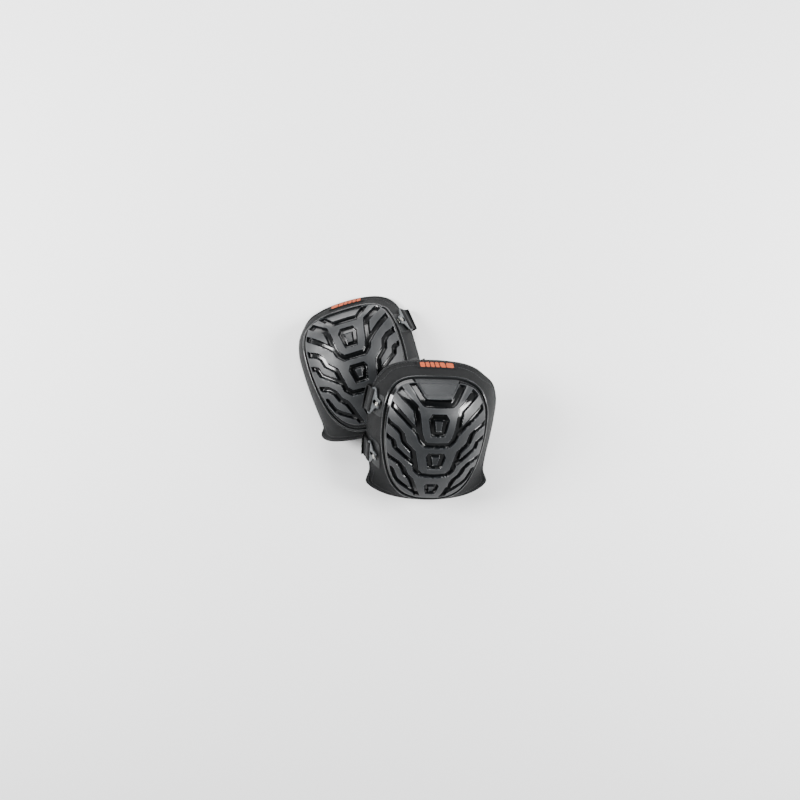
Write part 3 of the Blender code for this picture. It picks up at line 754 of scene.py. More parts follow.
@dataclass
class PadSurface:
    """The outer face of one pad's cover, and the place of everything that is measured on it."""

    side: Side
    heading: float
    pitch: float = 0.0
    roll: float = 0.0
    length: float = 0.230
    width: float = 0.190
    depth: float = 0.078
    stud_splay: float = 0.007
    sewn_splay: float = 0.001
    stud_lift: float = 0.004
    top_skew: float = 0.006
    cap_share: float = 0.68
    cap_top: float = 0.765
    cap_bottom: float = -0.735
    cap_span: float = 0.60
    cap_taper: float = 0.33
    cap_squareness: float = 3.8
    squareness: float = 7.0
    tab_squareness: float = 40.0
    cap_rings: tuple[tuple[float, float], ...] = ((1.0, 0.0028), (1.0, GAP), (0.965, 0.0028), (0.86, 0.009))
    turn: Array = field(init=False)
    origin: Array = field(init=False)

    def __post_init__(self) -> None:
        """Turn the pad as it lies, and read its place from the box of the frame's cap."""
        turns = (self.heading, self.pitch, self.roll)
        (ch, sh), (cp, sp), (cr, sr) = ((math.cos(a), math.sin(a)) for a in turns)
        self.turn = (np.array([[ch, -sh, 0], [sh, ch, 0], [0, 0, 1]])
                     @ np.array([[1, 0, 0], [0, cp, -sp], [0, sp, cp]])
                     @ np.array([[cr, 0, sr], [0, 1, 0], [-sr, 0, cr]]))
        angles = directions(44)
        rim = np.vstack([self.offset(*self.domain(self.cap_share * share, angles), height)
                         for share, height in self.cap_rings]) @ self.turn.T
        low, high = (np.array(corner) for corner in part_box(f"{self.side.value}_cap"))
        under, over = low - rim.min(0), high - rim.max(0)
        self.origin = (under + over) / 2
        self.origin[2] = under[2]
        log.info("%s pad at %s, spread %s", self.side.value, self.origin.round(5), (over - under).round(5))

    def point(self, across: Array, along: Array) -> Array:
        """Points on the cover's outer face, in the pad's own frame.

        Args:
            across: -1 at the hem where the straps are sewn, 1 at the hem under the studs.
            along: -1 at the bottom edge, 1 at the top edge.

        Returns:
            One point for each pair.
        """
        across, along = np.broadcast_arrays(np.asarray(across, float), np.asarray(along, float))
        row = spline(STATIONS, (along + 1) / 2 * (len(STATIONS) - 1))
        centre_y, hem_y = row[..., 0] * self.length, row[..., 3] * self.length
        centre_z, hem_z = row[..., 1] * self.depth, row[..., 4] * self.depth
        wing = np.clip((np.clip(np.abs(across), 0, 1) - 0.55) / 0.45, 0, 1) ** 2
        splay = np.where(across > 0, self.stud_splay, self.sewn_splay) * wing
        top = np.clip(along, 0, 1) ** 3 * self.top_skew
        angle = across * math.pi / 2
        x = row[..., 2] * self.width / 2 * np.sin(angle) + np.sign(across) * splay + top
        y = centre_y + (hem_y - centre_y) * across**2
        lift = np.where(across > 0, self.stud_lift, 0.0) * wing
        z = centre_z + (hem_z - centre_z) * (1 - np.cos(angle)) + lift
        return np.stack([self.side.hand * x, y, z], axis=-1)

    def normal(self, across: Array, along: Array) -> Array:
        """Directions away from the knee, square to the cover's outer face."""
        side = self.point(across + STEP, along) - self.point(across - STEP, along)
        up = self.point(across, along + STEP) - self.point(across, along - STEP)
        return unit(self.side.hand * np.cross(side, up))

    def offset(self, across: Array, along: Array, height: Array) -> Array:
        """Points at a height over the cover's outer face, in the pad's own frame."""
        return self.point(across, along) + np.asarray(height, float)[..., None] * self.normal(across, along)

    def domain(self, share: Array, angle: Array) -> tuple[Array, Array]:
        """Places on the cover by rings that go from the cap's outline over to the hem's.

        Args:
            share: the share of the way from the middle to the hem.
            angle: the direction from the middle.

        Returns:
            Across and along.
        """
        across, along = outline(angle, self.cap_squareness)
        inner = np.clip(share / self.cap_share, 0, 1)
        along = (self.cap_top + self.cap_bottom) / 2 + inner * along * (self.cap_top - self.cap_bottom) / 2
        narrow = np.clip(along / self.cap_bottom, 0, 1) ** 1.5
        across = inner * across * self.cap_span * (1 - self.cap_taper * narrow)
        corner = np.where(np.sin(angle) < 0, self.tab_squareness, self.squareness)
        hem_across, hem_along = outline(angle, corner)
        outer = np.clip((share - self.cap_share) / (1 - self.cap_share), 0, 1)
        return across + outer * (hem_across - across), along + outer * (hem_along - along)

    def world(self, points: Array) -> Array:
        """Points of the pad's own frame where they lie."""
        return points @ self.turn.T + self.origin

    def distance_in(self, limit: float, angle: Array, distance: float) -> Array:
        """The share that lies a distance inside a ring, square to it.

        Args:
            limit: the ring's share.
            angle: the directions.
            distance: the distance in metres.

        Returns:
            The share in each direction.
        """
        here = self.point(*self.domain(np.full_like(angle, limit), angle))
        inward = self.point(*self.domain(np.full_like(angle, limit - 0.05), angle)) - here
        after = self.point(*self.domain(np.full_like(angle, limit), angle + 1e-3)) - here
        square = np.linalg.norm(np.cross(inward, unit(after)), axis=-1)
        return limit - 0.05 * distance / square

    def ring(self, share: Array | float, height: float, count: int, lean: float = 0.0) -> Path:
        """A closed line round the pad at a share of the way to the hem.

        Args:
            share: the share, one for all or one for each direction.
            height: the line's height over the cover.
            count: how many stretches it has.
            lean: how far it is moved towards the hem, along the cover.

        Returns:
            The path in the world, its outs away from the cover and its sides towards the hem.
        """
        angles = directions()
        share = np.broadcast_to(np.asarray(share, float), angles.shape)
        domain = self.domain(share, angles)
        outs = self.normal(*domain)
        centres = self.point(*domain) + height * outs
        run = np.roll(centres, -1, axis=0) - np.roll(centres, 1, axis=0)
        sides = unit(np.cross(run, outs))
        middle = self.point(*self.domain(share - 0.02, angles))
        sides *= np.sign(((centres - middle) * sides).sum(1))[:, None]
        centres = centres + sides * lean
        table = even(np.hstack([centres, sides, outs]), count, closed=True)
        return self.world_path(table)

    def world_path(self, table: Array) -> Path:
        """A path in the world, from rows of centre, side and out in the pad's own frame."""
        sides, outs = (unit(table[:, k:k + 3]) @ self.turn.T for k in (3, 6))
        return Path(self.world(table[:, :3]), sides, outs)

    def cloth(self, across: Array, along: Array) -> Array:
        """The cloth's own coordinates: metres over the crown and along the leg."""
        return np.stack([across * self.width * 0.78, along * self.length * 0.55], axis=1)


def disc(u: Array, v: Array) -> tuple[Array, Array]:
    """A square grid's corner as a share of the way out and a direction."""
    return np.maximum(np.abs(u), np.abs(v)), np.arctan2(v, u)


# ---------------------------------------------------------------- the tread


@dataclass(frozen=True)
class Groove:
    """One groove of the tread: its middle line on the pad's right half, in millimetres."""

    width: float
    line: tuple[tuple[float, float], ...]


@dataclass(frozen=True)
class Recess:
    """A six-sided recess round a small boss, by its right half's corners in millimetres."""

    corners: tuple[tuple[float, float], ...]
    boss: tuple[tuple[float, float], ...]


BOWL = Groove(8.6, ((49.0, 110.0), (38.0, 101.0), (22.0, 85.5), (19.0, 84.0), (0.0, 84.0)))
GROOVES = (
    BOWL,
    Groove(9.6, ((65.5, 99.0), (46.0, 86.0), (33.0, 77.5), (29.5, 64.0), (27.0, 47.5), (22.5, 35.0),
                 (16.0, 28.4), (0.0, 28.4))),
    Groove(8.0, ((70.0, 80.0), (48.5, 64.5), (35.0, 53.0), (27.5, 45.0))),
    Groove(8.6, ((75.0, 58.5), (67.0, 51.5), (56.0, 46.5), (49.5, 40.0), (46.0, 27.0), (39.5, 20.5),
                 (33.0, 14.0), (28.5, -8.0), (26.5, -19.0), (19.0, -27.0), (0.0, -28.4))),
    Groove(7.6, ((72.0, 31.0), (60.0, 24.5), (57.5, 14.5), (47.5, 6.5), (29.5, -8.0))),
    Groove(8.6, ((74.0, -2.0), (52.5, -11.0), (44.5, -19.0), (39.7, -31.7), (31.7, -39.7), (27.0, -52.5),
                 (22.5, -67.3), (17.5, -79.0))),
    Groove(7.6, ((60.0, -27.0), (53.0, -44.8), (44.8, -52.8), (24.0, -66.5))),
)
RECESSES = (
    Recess(((10.0, 73.0), (15.2, 66.0), (9.8, 42.5)), ((5.6, 64.5), (3.6, 50.5))),
    Recess(((11.0, 15.0), (14.8, 8.0), (9.8, -14.6)), ((5.6, 6.6), (3.4, -6.8))),
    Recess(((8.6, -46.0), (11.2, -51.5), (7.4, -69.5)), ((4.2, -53.0), (2.6, -62.8))),
)


def line_distance(x: Array, y: Array, line: Sequence[tuple[float, float]]) -> Array:
    """Distances from points to a line of straight stretches, mirrored to both halves.

    Args:
        x: the points' first coordinate.
        y: their second one.
        line: the line's corners on the right half.

    Returns:
        The distances.
    """
    nearest = np.full(x.shape, np.inf)
    side = np.abs(x)
    for (ax, ay), (bx, by) in zip(line, line[1:]):
        rx, ry = bx - ax, by - ay
        share = np.clip(((side - ax) * rx + (y - ay) * ry) / (rx * rx + ry * ry), 0, 1)
        nearest = np.minimum(nearest, np.hypot(side - ax - share * rx, y - ay - share * ry))
    return nearest


def inside_distance(x: Array, y: Array, corners: Sequence[tuple[float, float]]) -> Array:
    """How far points are inside a many-sided shape, mirrored about x = 0.

    Args:
        x: the points' first coordinate.
        y: their second one.
        corners: the shape's corners on the right half, from its flat top down to its flat foot.

    Returns:
        The distances, negative outside.
    """
    side = np.abs(x)
    inside = np.minimum(corners[0][1] - y, y - corners[-1][1])
    for (ax, ay), (bx, by) in zip(corners, corners[1:]):
        run = math.hypot(bx - ax, by - ay)
        inside = np.minimum(inside, ((by - ay) * (side - ax) - (bx - ax) * (y - ay)) / run)
    return inside


@dataclass
class Cap:
    """The moulded cap with its tread, the flange it is sewn through, and the piping round it."""

    surface: PadSurface
    thickness: float = 0.009
    flange_thickness: float = 0.0026
    flange_width: float = 0.0072
    shoulder: float = 0.0032
    land: float = 0.0104
    groove_depth: float = 0.0056
    wall: float = 0.0019
    dish_depth: float = 0.0048
    boss_drop: float = 0.0022
    lip: float = 0.0008
    dish_middle: float = 100.0
    dish_reach: float = 15.0
    # Width in millimetres of the painted highlight along the plates' edges.
    edge_highlight_width: float = 0.5
    # How much of the grooves' gloss and painted shade the bosses take.
    boss_gloss_and_shade: float = 0.30
    snap_reach: float = 0.30
    probe: float = 0.02
    seam_inset: float = 0.0026
    piping_radius: float = 0.0021
    cells: tuple[int, int] = (280, 320)
    under_cells: tuple[int, int] = (40, 44)

    def reach(self, angle: Array) -> Array:
        """Metres from the rim to the middle in each direction, square to the rim."""
        rim = self.surface.cap_share
        return rim / (rim - self.surface.distance_in(rim, angle, 1.0))

    def drawing(self, across: Array, along: Array) -> tuple[Array, Array]:
        """The place in the tread's pattern, in millimetres from the pad's middle."""
        x, y, _ = self.surface.point(across, along).T / MM
        return x, y

    def boss(self, x: Array, y: Array) -> Array:
        """How far points are inside a recess's boss, in millimetres."""
        return np.max([inside_distance(x, y, r.boss) for r in RECESSES], axis=0)

    def depth_in(self, x: Array, y: Array, rim: Array) -> Array:
        """How far points are inside a groove or a recess.

        Args:
            x: the points' first coordinate in the pattern.
            y: their second one.
            rim: their distances from the rim in metres, since grooves end at the rim's land.

        Returns:
            The distances in millimetres, negative on the tread's plates.
        """
        grooves = np.max([g.width / 2 - line_distance(x, y, g.line) for g in GROOVES], axis=0)
        recesses = np.max([np.minimum(inside_distance(x, y, r.corners), -inside_distance(x, y, r.boss))
                           for r in RECESSES], axis=0)
        return np.maximum(np.minimum(grooves, (rim - self.land) / MM), recesses)

    def relief(self, u: Array, v: Array) -> tuple[Array, Array, Array, Array]:
        """Work out the grid's corners, those near a wall's top or foot moved onto it.

        Args:
            u: the corners' first coordinate on the grid.
            v: their second one.

        Returns:
            Across, along, millimetres inside a groove or recess, and metres from the rim.
        """
        surface = self.surface
        share, angle = disc(u, v)
        rim = (1 - share) * self.reach(angle)
        across, along = surface.domain(share * surface.cap_share, angle)
        x, y = self.drawing(across, along)
        inside = self.depth_in(x, y, rim)
        slope_x = (self.depth_in(x + self.probe, y, rim) - inside) / self.probe
        slope_y = (self.depth_in(x, y + self.probe, rim) - inside) / self.probe
        edges = np.array([0.0, self.wall / MM])
        miss = edges[np.argmin(np.abs(inside[:, None] - edges), axis=1)] - inside
        snap = (np.abs(miss) < self.snap_reach) & (share < 0.97) & (np.hypot(slope_x, slope_y) > 0.8)
        right = surface.point(across + STEP, along)[:, :2] - surface.point(across - STEP, along)[:, :2]
        up = surface.point(across, along + STEP)[:, :2] - surface.point(across, along - STEP)[:, :2]
        det = right[:, 0] * up[:, 1] - right[:, 1] * up[:, 0]
        move_x, move_y = slope_x * miss * MM * snap, slope_y * miss * MM * snap
        across = across + (move_x * up[:, 1] - move_y * up[:, 0]) / det * 2 * STEP
        along = along + (move_y * right[:, 0] - move_x * right[:, 1]) / det * 2 * STEP
        return across, along, self.depth_in(*self.drawing(across, along), rim), rim

    def height(self, across: Array, along: Array, inside: Array, rim: Array) -> Array:
        """The cap's height over the cover.

        Args:
            across: the points' places across the pad.
            along: their places along it.
            inside: how far inside a groove or recess they are, in millimetres.
            rim: their distances from the rim.

        Returns:
            The heights.
        """
        rise = np.clip((rim - self.flange_width) / self.shoulder, 0, 1)
        lip = np.clip(rim / self.lip, 0, 1)
        flange = self.flange_thickness * (0.45 + 0.55 * np.sqrt(1 - (1 - lip) ** 2))
        body = flange + (self.thickness - self.flange_thickness) * np.sqrt(1 - (1 - rise) ** 2)
        x, y = self.drawing(across, along)
        bowl = np.clip((y - BOWL.line[-1][1]) / 9, 0, 1) * np.clip((BOWL.line[0][0] - np.abs(x)) / 22, 0, 1)
        bowl *= np.clip((line_distance(x, y, BOWL.line) - BOWL.width / 2) / 3, 0, 1)
        dish = bowl * np.clip(1 - ((y - self.dish_middle) / self.dish_reach) ** 2, 0, 1)
        wall = np.clip(inside * MM / self.wall, 0, 1)
        drop = self.groove_depth * (1 - (1 - wall) ** 1.7) * rise
        sunk = self.boss_drop * np.clip(self.boss(x, y) + 0.4, 0, 1)
        return body - drop - self.dish_depth * dish - sunk

    def build(self) -> None:
        """Mould the cap, sew it on and run the piping round it."""
        surface, side = self.surface, self.surface.side.value
        kept: dict[str, tuple] = {}

        def corners(u: Array, v: Array) -> tuple:
            """The relief at the grid's corners, worked out once."""
            if "relief" not in kept:
                kept["relief"] = self.relief(u, v)
            return kept["relief"]

        def top(u: Array, v: Array) -> Array:
            """The cap's outer face."""
            across, along, inside, rim = corners(u, v)
            return surface.world(surface.offset(across, along, self.height(across, along, inside, rim)))

        def under(u: Array, v: Array) -> Array:
            """The cap's face on the cover."""
            share, angle = disc(u, v)
            return surface.world(surface.offset(*surface.domain(share * surface.cap_share, angle), GAP))

        def groove(u: Array, v: Array) -> Array:
            """1 in a groove and on the polished flange, 0 on the tread, and between on the bosses: where the
            cap is glossy and painted near-black as painted shade.
            """
            across, along, inside, rim = corners(u, v)
            boss = self.boss_gloss_and_shade * np.clip(self.boss(*self.drawing(across, along)) + 0.6, 0, 1)
            flange = np.clip((self.flange_width + self.lip - rim) / self.lip, 0, 1)
            return np.max([np.where(inside > -0.03, 1.0, 0.0), flange, boss], axis=0)

        def edge_highlight(u: Array, v: Array) -> Array:
            """How much painted highlight the corners get: a lighter band along the plates' edges."""
            inside = corners(u, v)[2]
            return 0.8 * np.exp(-((inside + 0.3) / self.edge_highlight_width) ** 2)

        # The marks carry the grooves' painted shade and the edges' painted highlight to the material.
        upper = grid_piece(f"{side}_tread_cap", self.cells, top, marks={"groove": groove, "edge_highlight": edge_highlight})
        lower = grid_piece(f"{side}_cap_underside", self.under_cells, under)
        cap = closed_layer(upper, lower, 62)
        dress(cap, CAP_PVC, "moulded_cap", f"{side}_pad", f"{side}_cap")

        seam = surface.distance_in(surface.cap_share, directions(), self.seam_inset)
        stitches = stitch_run(f"{side}_flange_stitches", surface.ring(seam, self.flange_thickness, 900),
                              Stitch(0.0034, 0.0009, 0.0044))
        dress(stitches, THREAD, "piping", f"{side}_pad")

        bead = surface.ring(surface.cap_share, self.piping_radius + 2 * GAP, 560,
                            lean=self.piping_radius * 1.25 + GAP)
        piping = swept(f"{side}_piping_bead", bead, round_section(self.piping_radius), 16)
        dress(piping, PIPING_PVC, "piping", f"{side}_pad", f"{side}_cap_piping")


# ---------------------------------------------------------------- the padded body


@dataclass
class PaddedBody:
    """The cover, the foam and gel inside, the lining, the bound hem and the label."""

    surface: PadSurface
    cover_thickness: float = 0.0015
    foam_thickness: float = 0.010
    edge_foam: float = 0.0015
    gel_thickness: float = 0.006
    lining_thickness: float = 0.0010
    binding_radius: float = 0.0024
    foam_edge: float = 0.95
    gel_edge: float = 0.56
    pucker: float = 0.00045
    quilt: float = 0.0016
    quilt_ring: float = 0.60
    topstitch_inset: float = 0.0068
    hemstitch_inset: float = 0.0010

    def foam_depth(self, share: Array) -> Array:
        """Thickness of the foam at a share of the way to the hem."""
        return self.edge_foam + self.foam_thickness * np.clip(1 - (share / self.foam_edge) ** 4, 0, 1)

    def gel_depth(self, share: Array) -> Array:
        """Thickness of the gel at a share of the way to the hem."""
        return self.gel_thickness * np.clip(1 - (share / self.gel_edge) ** 2, 0, 1)

    def lining_height(self, share: Array) -> Array:
        """Height of the lining's face that carries the foam and the gel."""
        return -(self.cover_thickness + 4 * GAP + self.foam_depth(share) + self.gel_depth(share))

    def layer(self, name: str, limit: float, inset: float, top: Callable[[Array, Array], Array],
              bottom: Callable[[Array, Array], Array], cells: int) -> Object:
        """A closed layer of the body between two heights.

        Args:
            name: the piece's name.
            limit: the share at which it ends.
            inset: how far inside that it stops.
            top: height at a share and a direction, on the cover's side.
            bottom: height at a share and a direction, on the knee's side.
            cells: how many cells its grids have each way.

        Returns:
            The layer.
        """
        surface = self.surface

        def spots(u: Array, v: Array) -> tuple[Array, Array]:
            """Share and direction of a grid's corner."""
            out, angle = disc(u, v)
            return out * surface.distance_in(limit, angle, inset), angle

        def face(height: Callable[[Array, Array], Array]) -> Place:
            """Where a face's corners lie."""
            def place(u: Array, v: Array) -> Array:
                """One corner of the face."""
                share, angle = spots(u, v)
                return surface.world(surface.offset(*surface.domain(share, angle), height(share, angle)))
            return place

        def weave(u: Array, v: Array) -> Array:
            """The cloth's own coordinates."""
            return surface.cloth(*surface.domain(*spots(u, v)))

        return closed_layer(grid_piece(name, (cells, cells), face(top), weave),
                            grid_piece(name + "_inside", (cells, cells), face(bottom), weave))

    def wrinkle(self, share: Array, angle: Array) -> Array:
        """The cover's puckers, which the piping and the hem pull into the cloth."""
        near_cap = np.exp(-((share - self.surface.cap_share - 0.035) / 0.03) ** 2)
        near_hem = np.exp(-((share - 0.965) / 0.035) ** 2)
        free = np.clip((share - self.surface.cap_share - 0.02) / 0.02, 0, 1)
        ripples = near_cap * np.sin(46 * angle + 1.3 * np.sin(5 * angle)) * 0.7
        ripples += near_hem * np.sin(61 * angle + 1.9 * np.sin(4 * angle))
        middle = np.sin(math.pi * np.clip((share - 0.70) / 0.27, 0, 1))
        swell = 1.4 * middle * (0.6 + 0.4 * np.sin(3 * angle + 0.8))
        return self.pucker * free * (ripples + swell)

    def puff(self, share: Array, angle: Array) -> Array:
        """How far the lining swells between its seams, towards the knee."""
        along = self.surface.domain(share, angle)[1]
        rim = np.clip(np.abs(share - self.quilt_ring) / 0.045, 0, 1)
        channels = np.clip(np.abs(np.sin(math.pi * (along * 3.2 + 0.5))) / 0.45, 0, 1)
        swell = np.where(share < self.quilt_ring, np.sqrt(channels), 0.55)
        hem = np.clip((0.97 - share) / 0.06, 0, 1)
        return self.quilt * np.sqrt(rim) * swell * np.sqrt(hem)

    def build(self) -> None:
        """Make every layer, bind the hem and sew on the label."""
        surface, side = self.surface, self.surface.side.value
        body = f"{side}_pad"
        edge = self.binding_radius * 0.5
        under = self.cover_thickness + GAP
        cover = self.layer(f"{side}_padded_cover", 1.0, edge, self.wrinkle,
                           lambda s, a: 0 * s - self.cover_thickness, 150)
        dress(cover, COVER_CLOTH, "cover_cloth", body, f"{side}_cover")
        foam = self.layer(f"{side}_foam_pad", 1.0, self.binding_radius + 0.0055, lambda s, a: 0 * s - under,
                          lambda s, a: -under - self.foam_depth(s), 70)
        dress(foam, EVA_FOAM, "foam", body, f"{side}_foam_core")

        def cells(s: Array, a: Array) -> Array:
            """The gel's knee side: a honeycomb of soft bumps."""
            across, along = surface.domain(s, a)
            bumps = 0.5 + 0.5 * np.cos(26 * across) * np.cos(22 * along)
            return -under - self.foam_depth(s) - GAP - self.gel_depth(s) * (0.78 + 0.2 * bumps)

        gel = self.layer(f"{side}_gel_pad", self.gel_edge, 0.002,
                         lambda s, a: -under - self.foam_depth(s) - GAP, cells, 80)
        dress(gel, GEL_PAD, "gel", body, f"{side}_gel_insert")
        lining = self.layer(f"{side}_mesh_lining", 1.0, edge, lambda s, a: self.lining_height(s),
                            lambda s, a: self.lining_height(s) - self.lining_thickness - self.puff(s, a), 130)
        dress(lining, LINING_MESH, "lining_mesh", body, f"{side}_lining")

        hem = surface.ring(1.0, -self.binding_radius * 0.7, 620)
        binding = swept(f"{side}_hem_binding", hem, self.tape_section, 28)
        dress(binding, BINDING_TAPE, "binding_tape", body, f"{side}_edge_binding")
        for name, inset, height in (("hem_stitches", self.hemstitch_inset, self.binding_radius * 0.36),
                                    ("cover_topstitches", self.topstitch_inset, 0.0004)):
            seam = surface.ring(surface.distance_in(1.0, directions(), inset), height, 900)
            dress(stitch_run(f"{side}_{name}", seam, Stitch()), THREAD, "binding_tape", body)
        self.build_label()

    def tape_section(self, turn: Array) -> Array:
        """The binding's section: a tape folded over the edge, fuller outside than inside."""
        angle = math.pi * turn
        radius = self.binding_radius * (1 + 0.10 * np.cos(angle) - 0.08 * np.cos(2 * angle))
        return np.stack([radius * np.cos(angle), radius * 0.92 * np.sin(angle)], axis=1)

    def build_label(self) -> None:
        """The woven label on the top edge, with plain slanted bars for a pattern."""
        surface, side = self.surface, self.surface.side.value
        start, stop = (-0.24, 0.30) if surface.side is Side.LEFT else (-0.31, 0.23)
        low, high = 0.905, 0.990
        label = self.patch(f"{side}_woven_label", (start, stop), (low, high), 0.0010, 0.0008, (60, 16), 0.12)
        dress(label, LABEL_GROUND, "label_patch", f"{side}_pad", f"{side}_label")
        bars, shares = [], (1.5, 1.0, 0.7, 0.7, 0.7, 0.9)
        edge, gap = 0.05, 0.014
        scale = (stop - start - 2 * edge - gap * (len(shares) - 1)) / sum(shares)
        start += edge
        for k, share in enumerate(shares):
            bars.append(self.patch(f"{side}_label_bar_{k}", (start, start + share * scale),
                                   (low + 0.012, high - 0.012), 0.0018, 0.0004, (8, 8), 0.3,
                                   0.2 if k else 0.0))
            start += share * scale + gap
        select_only(bars)
        bpy.ops.object.join()
        bars[0].name = bars[0].data.name = f"{side}_label_bars"
        dress(bars[0], LABEL_YARN, "label_patch", f"{side}_pad")

    def patch(self, name: str, across: tuple[float, float], along: tuple[float, float], foot: float,
              thickness: float, cells: tuple[int, int], corner: float = 0.15, slant: float = 0.0) -> Object:
        """A flat piece sewn on the cover, with round corners.

        Args:
            name: the piece's name.
            across: where it starts and ends across the pad.
            along: where it starts and ends along it.
            foot: its underside's height over the cover.
            thickness: how thick it is.
            cells: its grid.
            corner: the share of its side that a corner takes.
            slant: how far its upper edge is moved across, as a share of its width.

        Returns:
            The patch.
        """
        surface = self.surface
        middle = [(across[0] + across[1]) / 2, (along[0] + along[1]) / 2]
        half = [(across[1] - across[0]) / 2, (along[1] - along[0]) / 2]

        def spots(u: Array, v: Array) -> tuple[Array, Array]:
            """A corner's place across and along, drawn in where it is near the patch's corner."""
            pull = 1 - corner * (np.abs(u) * np.abs(v)) ** 8 * 0.5
            return middle[0] + half[0] * (u * pull + slant * v), middle[1] + half[1] * v * pull

        def face(height: float) -> Place:
            """Where a face's corners lie."""
            def place(u: Array, v: Array) -> Array:
                """One corner, its rim rounded down."""
                rim = np.clip((1 - np.maximum(np.abs(u), np.abs(v))) * 8, 0, 1)
                level = foot + (height - foot) * (0.55 + 0.45 * np.sqrt(1 - (1 - rim) ** 2))
                return surface.world(surface.offset(*spots(u, v), level))
            return place

        def weave(u: Array, v: Array) -> Array:
            """The cloth's own coordinates."""
            return surface.cloth(*spots(u, v))

        return closed_layer(grid_piece(name, cells, face(foot + thickness), weave),
                            grid_piece(name + "_back", cells, face(foot), weave))


# ---------------------------------------------------------------- straps and fastenings


